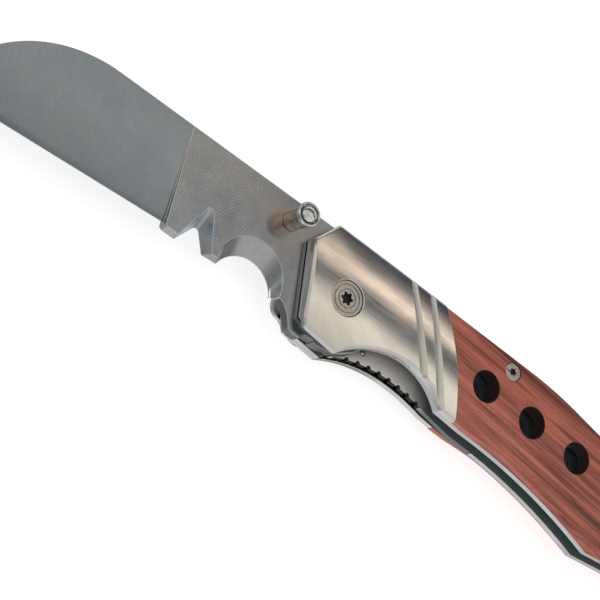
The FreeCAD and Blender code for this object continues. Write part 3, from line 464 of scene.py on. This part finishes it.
def blade_steel(name, dull, bright, blue, rough, streak, relief, arcs=False, metal=1.0,
                shade=0.0):
    """Ground steel under a cloudy film, with or without the wheel's arcs."""
    finish, tree, shader = new_finish(name)
    where = add_node(tree, "ShaderNodeTexCoord").outputs["Object"]
    lines = place_group(tree, BRUSHED, density=5200.0, stretch=0.04, turn=1.3)
    cloud = place_group(tree, CLOUDS, size=0.024)["Mask"]
    film = place_group(tree, CLOUDS, size=0.0075)["Mask"]
    edge = place_group(tree, EDGE_HIGHLIGHT, width=0.0002)
    tone = blend(tree, cloud, dull, bright)
    tone = blend(tree, maths(tree, "MULTIPLY", film, FILM_SHARE), tone, blue)
    tone = blend(tree, maths(tree, "MULTIPLY", lines["Mask"], streak), tone, LINE_TONE)
    # Painted shade: the tone darkens low down, towards the edge.
    across = add_node(tree, "ShaderNodeSeparateXYZ", links={0: where}).outputs["Y"]
    low = span(tree, across, PIVOT.y + 4 * MM, PIVOT.y - 11 * MM, 0.0, shade)
    tone = blend(tree, low, tone, LOW_SHADE_TONE)
    height = lines["Height"]
    if arcs:
        rings = add_node(tree, "ShaderNodeGroup", node_tree=WHEEL_ARCS)
        rings.inputs["Pitch"].default_value = 0.62 * MM
        rings.inputs["First centre"].default_value = STUD + Vector((-16.5, 4.5, 0)) * MM
        rings.inputs["Second centre"].default_value = STUD + Vector((-26, -3, 0)) * MM
        rings.inputs["Divide at"].default_value = STUD.x - 12 * MM
        height = maths(tree, "MULTIPLY_ADD", height, 0.25, rings.outputs[0])
        groove = span(tree, rings.outputs[0], -0.1, 0.9, 0.0, 0.22)
        tone = blend(tree, groove, tone, ARC_TONE)
        away = add_node(tree, "ShaderNodeVectorMath", operation="DISTANCE",
                        links={0: where}, values={1: STUD}).outputs["Value"]
        stain = maths(tree, "MULTIPLY", span(tree, away, 9 * MM, 4.5 * MM),
                      span(tree, noise(tree, where, 260.0, 3.0), 0.35, 0.6, 0.15, 0.6))
        tone = blend(tree, stain, tone, STUD_STAIN)
    # Painted highlight: corners are mixed to a pale tone and made less metallic.
    tone = blend(tree, edge["Mask"], tone, EDGE_HIGHLIGHT_TONE)
    tree.links.new(tone, shader.inputs["Base Color"])
    tree.links.new(maths(tree, "MULTIPLY_ADD", edge["Mask"], -0.5 * metal, metal),
                   shader.inputs["Metallic"])
    tree.links.new(maths(tree, "MULTIPLY_ADD", cloud, 0.08, rough), shader.inputs["Roughness"])
    bump(tree, shader, height, relief, BLADE_RELIEF, edge["Normal"])
    return finish


print("blade steel helper ready")

# %% [markdown]
# ## The steels of the blade
# The flat keeps the wheel's arcs. The ground faces are darker, and darkest low down, which is
# painted shade. The walls of the bays were cut and polished in their own way and get a grey
# steel; the other walls are a light blue, a painted reflection, and the walls of the tang a dark
# steel, painted shade.

# %% Blade steels
BLADE_STEEL = blade_steel("blade flat steel", (0.34, 0.36, 0.39), (0.45, 0.455, 0.465),
                          (0.29, 0.35, 0.42), rough=0.19, streak=0.05, relief=0.22,
                          arcs=True)
GRIND_STEEL = blade_steel("blade ground steel", (0.21, 0.24, 0.28), (0.28, 0.31, 0.35),
                          (0.19, 0.24, 0.3), rough=0.16, streak=0.06, relief=0.12,
                          shade=0.45)
# Painted reflection: the walls are a light blue, part diffuse.
WALL_REFLECTION_STEEL = blade_steel("wall steel with painted reflection", (0.6, 0.68, 0.76), (0.72, 0.78, 0.84),
                          (0.5, 0.62, 0.74), rough=0.3, streak=0.1, relief=0.3, metal=0.4)
BAY_STEEL = blade_steel("cutting bay steel", (0.38, 0.38, 0.38), (0.52, 0.52, 0.51),
                        (0.34, 0.37, 0.4), rough=0.2, streak=0.1, relief=0.3, metal=0.85)
# Painted shade: the walls of the tang, between the liners, are a dark steel.
TANG_SHADE_STEEL = blade_steel("tang wall steel", (0.16, 0.15, 0.14), (0.3, 0.28, 0.26),
                         (0.13, 0.13, 0.13), rough=0.3, streak=0.05, relief=0.3,
                         metal=0.85)
print("blade steels ready")

# %% [markdown]
# ## Brass
# The pivot washers show only as a thin line between the blade and the liners. They are
# plain turned brass.

# %% Brass
BRASS = steel("washer brass", (0.8, 0.62, 0.3), (0.6, 0.45, 0.2), density=4000.0,
              stretch=1.0, rough=0.25, cloud_size=5 * MM, edge_width=0.05 * MM, relief=0.1)
print("brass ready")

# %% [markdown]
# ## Red wood
# The sides are a dense red wood under a thin film of oil. Its grain runs along the handle,
# a few degrees off it. Four stretched noises make it: broad bands of colour, light streaks
# in them, dark lines between the years of growth, and short fine pores.

# %% Wood
GRAIN_TURN = math.radians(5)
DARK_BAND, RED_BAND = (0.21, 0.038, 0.027), (0.6, 0.158, 0.108)
LIGHT_STREAK = (0.72, 0.24, 0.175)
YEAR_LINE = (0.11, 0.022, 0.02)
PORE_TONE = (0.1, 0.02, 0.016)
WOOD_SHADE_TONE = (0.03, 0.01, 0.008)


def grain(tree, where, along, across, detail, roughness, distortion=0.0):
    """Noise with so many marks a metre along the grain and across it."""
    return noise(tree, stretched(tree, where, (along, across, across), GRAIN_TURN), 1.0, detail,
                 roughness, distortion)


def red_wood():
    """Oiled red wood with straight grain along the handle."""
    finish, tree, shader = new_finish("red wood", Roughness=0.4, Coat_Weight=0.25,
                                      Coat_Roughness=0.25)
    where = add_node(tree, "ShaderNodeTexCoord").outputs["Object"]
    broad = grain(tree, where, 22.0, 230.0, 4.0, 0.55, 0.9)
    streak = grain(tree, where, 28.0, 900.0, 5.0, 0.62, 0.5)
    line = grain(tree, where, 14.0, 420.0, 3.0, 0.55, 0.4)
    pore = grain(tree, where, 900.0, 7000.0, 2.0, 0.5)
    tone = blend(tree, span(tree, broad, 0.36, 0.64), DARK_BAND, RED_BAND)
    tone = blend(tree, span(tree, streak, 0.45, 0.68, 0.0, 0.8), tone, LIGHT_STREAK)
    tone = blend(tree, span(tree, line, 0.56, 0.64, 0.0, 0.75), tone, YEAR_LINE)
    tone = blend(tree, span(tree, pore, 0.6, 0.72, 0.0, 0.7), tone, PORE_TONE)
    # Painted shade in closed places, from ambient occlusion.
    shade_mask = place_group(tree, CLOSED_SHADE, reach=1.5 * MM)["Mask"]
    tone = blend(tree, shade_mask, tone, WOOD_SHADE_TONE)
    tree.links.new(tone, shader.inputs["Base Color"])
    bump(tree, shader, pore, 0.3, 0.04 * MM)
    return finish


RED_WOOD = red_wood()
print("wood ready")

# %% [markdown]
# ## Worked copies of the CAD solids
# A stamped, ground or carved piece has no knife-sharp corners. Each visible piece is built
# here from its exact solid: the facets are welded, flat areas become single faces, and every
# hard corner is bevelled by a tenth or two of a millimetre. The bevels are real geometry, so
# they catch the light from every side. The new piece rides on the same body as its solid.

# %% Corner helpers
BODY_OF = {node: body for body, nodes in frame["record"]["behaviour"]["bodies"].items()
           for node in nodes}
SLOT_OF = {part["node"]: part["material_slot"] for part in frame["record"]["subparts"]}
WELD = 0.002 * MM
FLAT_ANGLE = math.radians(0.6)
CORNER_ANGLE = math.radians(28)
HARD_ANGLE = math.radians(50)
CREASE_ANGLE = math.radians(1)
BROAD = 12 * MM * MM
BEVEL_STEPS = 2
FLAT_FACE_WEIGHT = 90


def solid_of(node):
    """The node's own mesh, welded, with its flat areas as single faces."""
    work = bmesh.new()
    work.from_mesh(frame["nodes"][node].data)
    bmesh.ops.remove_doubles(work, verts=work.verts, dist=WELD)
    bmesh.ops.dissolve_limit(work, angle_limit=FLAT_ANGLE, verts=work.verts, edges=work.edges)
    work.normal_update()
    return work


def ease_corners(work, width):
    """Bevels the hard corners, and marks the creases between broad faces as sharp."""
    corners = [edge for edge in work.edges if edge.is_manifold
               and edge.calc_face_angle(0.0) > CORNER_ANGLE]
    bmesh.ops.bevel(work, geom=corners, offset=width, offset_type="OFFSET",
                    segments=BEVEL_STEPS, profile=0.5, affect="EDGES", clamp_overlap=True)
    work.normal_update()
    for edge in work.edges:
        turn = edge.calc_face_angle(0.0)
        broad = turn > CREASE_ANGLE and all(face.calc_area() > BROAD for face in edge.link_faces)
        edge.smooth = not (turn > HARD_ANGLE or broad)


print("corner helpers ready; corners are eased in", BEVEL_STEPS, "steps")

# %% [markdown]
# ## Keeping the pieces
# A worked mesh becomes an object that rides on the body of its solid. Weighted normals let the
# large flat faces stay flat beside their bevels. The hollows are found by place, and take a
# finish of their own, painted shade.

# %% Piece helpers
ANY_DEPTH = 1.0


def keep_piece(work, name, body, finishes):
    """Turns the work into an object that rides on a body."""
    for face in work.faces:
        face.smooth = True
    mesh = bpy.data.meshes.new(name)
    work.to_mesh(mesh)
    work.free()
    for finish in finishes:
        mesh.materials.append(finish)
    piece = bpy.data.objects.new(name, mesh)
    bpy.context.collection.objects.link(piece)
    weigh = piece.modifiers.new("large faces stay flat", "WEIGHTED_NORMAL")
    weigh.weight = FLAT_FACE_WEIGHT
    weigh.keep_sharp = True
    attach(piece, body)
    return piece


def line_holes(work, spots, radius, index, level):
    """Gives a finish, the painted shade of a hollow, to the faces that lie wholly inside round
    places, up to a level.
    """
    for face in work.faces:
        deep = abs(face.calc_center_median().z - BLADE_MID) < level
        for spot in spots:
            if deep and all(math.hypot(vertex.co.x - spot.x, vertex.co.y - spot.y) < radius
                            for vertex in face.verts):
                face.material_index = index


def stand_in(work, name, node, finishes):
    """Keeps a piece that stands for one CAD node, on its body, and hides the node."""
    piece = keep_piece(work, name, BODY_OF[node], finishes)
    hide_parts(node)
    print(name, "stands for", node, "with", len(piece.data.polygons), "faces")


print("piece helpers ready for", len(BODY_OF), "nodes")

# %% [markdown]
# ## The crown of the handle
# The handle's faces are not flat: the belt has rubbed them into a shallow crown across the
# width, which is why long soft bands of light run along the bolsters. A flat mesh can't
# bend, so it is first cut into strips along the handle. Each point is then drawn towards the
# liner in proportion to its height, and points on the liner stay where they are.

# %% Crown helper
CROWN_MID = PIVOT.y + 1.0 * MM
CROWN_RADIUS = 90 * MM
STRIP = 0.8 * MM
CUT_REACH = 0.0005 * MM


def crown(work, base, top):
    """Cuts a piece into strips along the handle and crowns its face."""
    low = min(vertex.co.y for vertex in work.verts)
    high = max(vertex.co.y for vertex in work.verts)
    place = low + STRIP
    while place < high:
        bmesh.ops.bisect_plane(work, geom=work.verts[:] + work.edges[:] + work.faces[:],
                               plane_co=(0, place, 0), plane_no=(0, 1, 0), dist=CUT_REACH)
        place += STRIP
    for vertex in work.verts:
        share = min(1.0, max(0.0, (vertex.co.z - base) / (top - base)))
        drop = (vertex.co.y - CROWN_MID) ** 2 / (2 * CROWN_RADIUS)
        vertex.co.z -= math.copysign(drop * share, top - base)


print("crown radius", CROWN_RADIUS / MM, "mm")

# %% [markdown]
# ## Bolsters, wooden sides, rivets and screws
# Both sides of the handle are worked alike, and crowned together with their screws and rivets,
# so that these stay flush. The drilled holes and the stars of the screws are found by their
# places from the pivot, and lined with painted shade.

# %% Handle sides
def from_pivot(places):
    """Points measured in millimetres from the pivot axis."""
    return [PIVOT + Vector((x, y, 0)) * MM for x, y in places]


HOLES = from_pivot([(38.1, 2.75), (51.9, 2.25), (65.7, 1.75)])
HOLE_RADIUS = 3.62 * MM
WOOD_SCREWS = from_pivot([(43.15, 9.85), (84.5, 6.4)])
CLIP_SCREWS = from_pivot([(-7.0, -4.5), (-1.5, -7.0), (-6.9, 3.6)])
STAR_RADIUS = 0.98 * MM
WOOD_SCREW_TOP = 5.05 * MM
CLIP_SCREW_TOP = 7.3 * MM


def handle_side(node, name, side, finishes, width, spots=(), radius=0.0, level=ANY_DEPTH):
    """A bolster, wooden side or its screws, eased, lined with painted shade where it is hollow,
    and crowned.
    """
    work = solid_of(node)
    ease_corners(work, width)
    line_holes(work, spots, radius, len(finishes) - 1, level)
    if side > 0:
        crown(work, LINER_FACE, FRONT_FACE)
    else:
        crown(work, BACK_LINER_FACE, BACK_FACE)
    stand_in(work, name, node, finishes)


for word, side in (("front", 1), ("back", -1)):
    handle_side(word + "_bolster", word + "_bolster_rubbed", side, [SATIN], 0.16 * MM)
    handle_side(word + "_scale", word + "_wood", side, [RED_WOOD, BORE_SHADE], 0.3 * MM, HOLES,
                HOLE_RADIUS)
    handle_side(word + "_scale_screws", word + "_wood_screws", side, [TURNED, RECESS_SHADE],
                0.05 * MM, WOOD_SCREWS, STAR_RADIUS, WOOD_SCREW_TOP)
    handle_side(word + "_bolster_rivets", word + "_rivets", side, [SATIN], 0.05 * MM)

# %% [markdown]
# ## Liners, lock bar, spacer and clip
# These are stamped from plate. Their corners are only just broken, apart from the clip, which is
# tumbled until its edges are round. The faces of the back liner that look up, into the slot, get
# a dark finish of their own, painted shade.

# %% Plate pieces
PIVOT_STAR = 1.53 * MM
PIVOT_HEAD_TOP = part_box("pivot_screw")[1][2] - BLADE_MID - 0.1 * MM
FACES_UP = 0.9


def plate_piece(node, name, finishes, width, spots=(), radius=0.0, level=ANY_DEPTH):
    """A stamped piece with eased corners, lined with painted shade where it is hollow."""
    work = solid_of(node)
    ease_corners(work, width)
    # Painted shade: on the back liner, the faces that look up, into the slot, take the dark
    # shaded steel.
    for face in work.faces:
        face.material_index = int(SHADED in finishes and face.normal.z > FACES_UP)
    line_holes(work, spots, radius, len(finishes) - 1, level)
    stand_in(work, name, node, finishes)


plate_piece("front_liner", "front_plate", [PLATE, BORE_SHADE], 0.1 * MM, HOLES, HOLE_RADIUS)
plate_piece("back_liner", "back_plate", [PLATE, SHADED, BORE_SHADE], 0.1 * MM, HOLES, HOLE_RADIUS)
plate_piece("back_spacer", "spacer_bar", [DARK_PLATE], 0.1 * MM)
plate_piece("pocket_clip", "clip_strip", [POLISHED], 0.25 * MM)
plate_piece("clip_screws", "clip_screw_heads", [POLISHED, RECESS_SHADE], 0.05 * MM, CLIP_SCREWS,
            STAR_RADIUS, CLIP_SCREW_TOP)
plate_piece("pivot_screw", "pivot_head", [TURNED, RECESS_SHADE], 0.05 * MM, [PIVOT], PIVOT_STAR,
            PIVOT_HEAD_TOP)

# %% [markdown]
# ## The lock leaf
# The leaf's long edge is filed into thumb notches. Its face is a lighter steel than the liners,
# and past a place under the handle it turns to slate, painted shade; the filed edge and the
# notches are painted near black, as shade. Its outer face is rubbed down by a few hundredths of
# a millimetre, so that it lies clear of the back bolster and the wood when the knife is shut.

# %% Lock leaf
LEAF_CLEAR = 0.02 * MM
TEETH_START, TEETH_END = 5.5 * MM, 29 * MM


def make_leaf():
    """The lock bar with a bright face and a toothed edge painted dark, as shade."""
    work = solid_of("lock_bar")
    ease_corners(work, 0.08 * MM)
    outer = {vertex for face in work.faces if face.normal.z < -0.9 for vertex in face.verts}
    for vertex in outer:
        vertex.co.z += LEAF_CLEAR
    # Painted shade: the walls of the toothed edge take the near-black recess finish.
    for face in work.faces:
        along = face.calc_center_median().x - PIVOT.x
        if abs(face.normal.z) < 0.6 and TEETH_START < along < TEETH_END:
            face.material_index = 1
    stand_in(work, "lock_leaf", "lock_bar", [LEAF, RECESS_SHADE])


make_leaf()

# %% [markdown]
# ## The thumb stud
# The stud is turned on a lathe: a plain post with a neck, a wider collar, and a polished
# dome set in the collar. It is made here the same way, as a profile swept round the stud's
# own axis. The post is one piece, and the collar with its dome, brightly plated, another.

# %% Lathe
SEGMENTS = 72


def lathe(name, body, axis, profile, finish):
    """Sweeps a profile of (radius, height) points in millimetres round an upright axis."""
    work = bmesh.new()
    points = [work.verts.new(axis + Vector((radius, 0, height)) * MM)
              for radius, height in profile]
    edges = [work.edges.new(pair) for pair in zip(points, points[1:])]
    bmesh.ops.spin(work, geom=points + edges, cent=axis, axis=(0, 0, 1), angle=math.tau,
                   steps=SEGMENTS, use_merge=True)
    bmesh.ops.remove_doubles(work, verts=work.verts, dist=WELD)
    bmesh.ops.recalc_face_normals(work, faces=work.faces)
    for edge in work.edges:
        edge.smooth = edge.calc_face_angle(0.0) < HARD_ANGLE
    return keep_piece(work, name, body, [finish])


STUD_FOOT = Vector((STUD.x, STUD.y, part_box("thumb_stud")[0][2]))
POST = [(0, 0.01), (2.06, 0.01), (2.2, 0.15), (2.2, 5.15), (2.12, 5.32), (2.0, 5.36), (2.0, 5.6),
        (0, 5.6)]
CAP = [(0, 5.5), (2.2, 5.5), (2.42, 5.62), (2.6, 5.85), (2.64, 6.1), (2.64, 6.5), (2.58, 6.72),
       (2.44, 6.86), (2.28, 6.88), (2.14, 6.76), (2.04, 6.42), (1.8, 6.36)]
CAP += [(1.76 * math.cos(turn), 6.36 + 1.05 * math.sin(turn))
        for turn in (math.radians(6 * step) for step in range(1, 16))]
post = lathe("stud_post", BODY_OF["thumb_stud"], STUD_FOOT, POST, STUD_STEEL)
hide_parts("thumb_stud")
cap = lathe("stud_collar_and_dome", BODY_OF["stud_cap"], STUD_FOOT, CAP, CHROME)
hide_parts("stud_cap")
print("stud turned from", len(POST) + len(CAP), "profile points")

# %% [markdown]
# ## The blade
# The blade is one piece of steel with several finishes. The ground faces are hollow and
# cloudy, the flat between the plunge line and the handle still shows the arcs that the
# grinding wheel left, and the bays and the tang have walls of their own. The faces are told
# apart by where they lie and how they lean.

# %% Blade piece
WALL = 0.2 * MM * MM
GRIND_LEAST, GRIND_MOST = math.radians(1), math.radians(14)
WALL_LEAN = math.radians(20)
FACES_BUTT = 0.45


def make_blade():
    """The blade with eased corners and a finish for each kind of face."""
    work = solid_of("blade")
    ease_corners(work, 0.12 * MM)
    plunge_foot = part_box("blade")[0][0] + 55.5 * MM
    vee_foot = PIVOT.x - 30 * MM
    tang_foot = PIVOT.x - 11.5 * MM
    for face in work.faces:
        middle_x = face.calc_center_median().x
        lean = face.normal.angle(Vector((0, 0, math.copysign(1, face.normal.z))))
        if GRIND_LEAST < lean < GRIND_MOST and middle_x < plunge_foot:
            face.material_index = 1
        elif face.normal.x > FACES_BUTT and face.calc_area() > WALL and middle_x < vee_foot:
            face.material_index = 3
        elif lean > WALL_LEAN and middle_x > tang_foot:
            face.material_index = 4
        elif lean > WALL_LEAN and face.calc_area() > WALL:
            face.material_index = 2
    stand_in(work, "blade_ground", "blade",
             [BLADE_STEEL, GRIND_STEEL, BAY_STEEL, WALL_REFLECTION_STEEL, TANG_SHADE_STEEL])


make_blade()

# %% [markdown]
# ## Small parts that stay as they are
# Washers, the stop pin, the ball, the stud's screw and the pivot barrel need no rework. They
# keep their CAD meshes and only take the finish of their material slot, apart from the ball,
# which is as bright as the leaf it sits in.

# %% Give the CAD nodes their finishes
FINISH = {"blade_steel": BLADE_STEEL, "satin_steel": SATIN, "liner_steel": PLATE,
          "spacer_steel": DARK_PLATE, "polished_steel": POLISHED, "screw_steel": TURNED,
          "washer_brass": BRASS, "red_wood": RED_WOOD}
for node, thing in frame["nodes"].items():
    for place in thing.material_slots:
        place.material = LEAF if node == "detent_ball" else FINISH[SLOT_OF[node]]
print("finishes given to", len(frame["nodes"]), "nodes")

# %% [markdown]
# ## The floor
# The knife lies on a wide sheet of pale paper. The paper glows by itself, as overlit paper
# does, so that it stays close to white and the shadows on it are faint.

# %% Floor
def make_floor():
    """A wide pale sheet under the knife."""
    sheet = bmesh.new()
    bmesh.ops.create_grid(sheet, x_segments=8, y_segments=8, size=2.0)
    mesh = bpy.data.meshes.new("floor")
    sheet.to_mesh(mesh)
    sheet.free()
    floor = bpy.data.objects.new("floor", mesh)
    bpy.context.collection.objects.link(floor)
    paper = new_finish("pale floor", Base_Color=(0.6, 0.6, 0.61, 1.0), Roughness=0.9,
                       Emission_Color=(0.99, 0.99, 1.0, 1.0), Emission_Strength=0.75)[0]
    mesh.materials.append(paper)
    floor.visible_glossy = False


make_floor()
print("floor laid")

# %% [markdown]
# ## The light
# The light is a tent of white cloth with dark and warm cards outside it. Steel shows almost
# nothing but its surroundings, so the cards are what draw the bands on the bolsters. The
# tent's colour depends on the lean from the upright across the knife. Below the horizon it
# depends on the heading, and lights the knife's upright walls. One grey card hangs above,
# low on the side of the tip and the edge.

# %% Sky
OVER = [(-180, (0.3, 0.3, 0.32)), (-110, (0.45, 0.45, 0.47)), (-80, (0.7, 0.7, 0.7)),
        (-35, (0.7, 0.69, 0.66)), (5, (0.62, 0.6, 0.56)), (13, (0.72, 0.69, 0.62)),
        (18, (0.95, 0.9, 0.8)), (23, (1.15, 1.08, 0.93)), (25, (1.0, 0.95, 0.83)),
        (26.3, (0.5, 0.5, 0.48)), (27.8, (0.12, 0.14, 0.16)), (32.6, (0.06, 0.075, 0.09)),
        (34.0, (0.22, 0.2, 0.19)), (35.4, (2.1, 1.72, 1.42)), (37.2, (2.2, 1.82, 1.5)),
        (38.6, (0.5, 0.44, 0.4)), (40.3, (0.08, 0.085, 0.1)), (45, (0.03, 0.04, 0.06)),
        (60, (0.15, 0.16, 0.2)), (80, (0.8, 0.78, 0.72)), (105, (1.8, 1.62, 1.4)),
        (130, (1.3, 1.18, 1.05)), (150, (0.4, 0.4, 0.42)), (180, (0.3, 0.3, 0.32))]
UNDER = [(-180, (0.45, 0.45, 0.45)), (-140, (0.33, 0.33, 0.34)), (-110, (0.5, 0.51, 0.53)),
         (-68, (0.8, 0.82, 0.84)), (-45, (0.72, 0.73, 0.74)), (-22, (0.35, 0.31, 0.28)),
         (8, (0.4, 0.38, 0.37)), (32, (0.58, 0.7, 0.8)), (52, (0.62, 0.72, 0.8)),
         (80, (0.45, 0.45, 0.47)), (110, (0.2, 0.16, 0.13)), (140, (0.28, 0.26, 0.24)),
         (160, (0.5, 0.5, 0.49)), (180, (0.45, 0.45, 0.45))]


def sky_ramp(tree, angle, stops):
    """A colour ramp over an angle in radians, with its stops in degrees."""
    ramp = add_node(tree, "ShaderNodeValToRGB",
                    links={0: span(tree, angle, -math.pi, math.pi)})
    entries = ramp.color_ramp.elements
    while len(entries) < len(stops):
        entries.new(0.5)
    for entry, (degrees, colour) in zip(entries, stops):
        entry.position = degrees / 360 + 0.5
        entry.color = (*colour, 1.0)
    return ramp.outputs[0]


CARD_TONE = (0.3, 0.3, 0.3)


def make_sky():
    """The studio tent, with its cards."""
    world = bpy.data.worlds.new("studio tent")
    bpy.context.scene.world = world
    world.use_nodes = True
    tree = world.node_tree
    toward = add_node(tree, "ShaderNodeTexCoord").outputs["Generated"]
    parts = add_node(tree, "ShaderNodeSeparateXYZ", links={0: toward}).outputs
    over = sky_ramp(tree, maths(tree, "ARCTAN2", parts["Y"], parts["Z"]), OVER)
    under = sky_ramp(tree, maths(tree, "ARCTAN2", parts["Y"], parts["X"]), UNDER)
    card = maths(tree, "MULTIPLY", span(tree, parts["X"], -0.1, -0.5),
                 span(tree, parts["Y"], -0.3, -0.5))
    over = blend(tree, card, over, CARD_TONE)
    colour = blend(tree, span(tree, parts["Z"], 0.05, -0.15), over, under)
    tree.links.new(colour, tree.nodes["Background"].inputs["Color"])


make_sky()
print("sky with", len(OVER) + len(UNDER), "stops")

# %% [markdown]
# ## The camera
# A long lens looks down on the knife from beyond its edge. The camera is rolled, so that the
# knife crosses the view from corner to corner. The angles are in degrees, and the distance
# is in metres from the place it looks at.

# %% Camera
def make_camera():
    """Looks down on the knife from over its edge side, beyond the tip."""
    azimuth, elevation, roll, distance = 40.19, 55.69, 71.1, 0.4089
    aim = PIVOT + Vector((-7.11, -4.04, 0.0)) * MM
    aim.z = BLADE_MID
    back = Vector((-math.sin(math.radians(azimuth)) * math.cos(math.radians(elevation)),
                   -math.cos(math.radians(azimuth)) * math.cos(math.radians(elevation)),
                   math.sin(math.radians(elevation))))
    data = bpy.data.cameras.new("camera")
    data.lens = 120.0
    data.sensor_width = 36.0
    data.clip_start = 0.01
    camera = bpy.data.objects.new("camera", data)
    bpy.context.collection.objects.link(camera)
    camera.location = aim + back * distance
    camera.rotation_mode = "QUATERNION"
    camera.rotation_quaternion = ((-back).to_track_quat("-Z", "Y")
                                  @ Quaternion((0, 0, 1), math.radians(roll)))
    bpy.context.scene.camera = camera


make_camera()
print("camera at", tuple(round(part, 4) for part in bpy.context.scene.camera.location))
bpy.context.scene.view_settings.view_transform = "Standard"
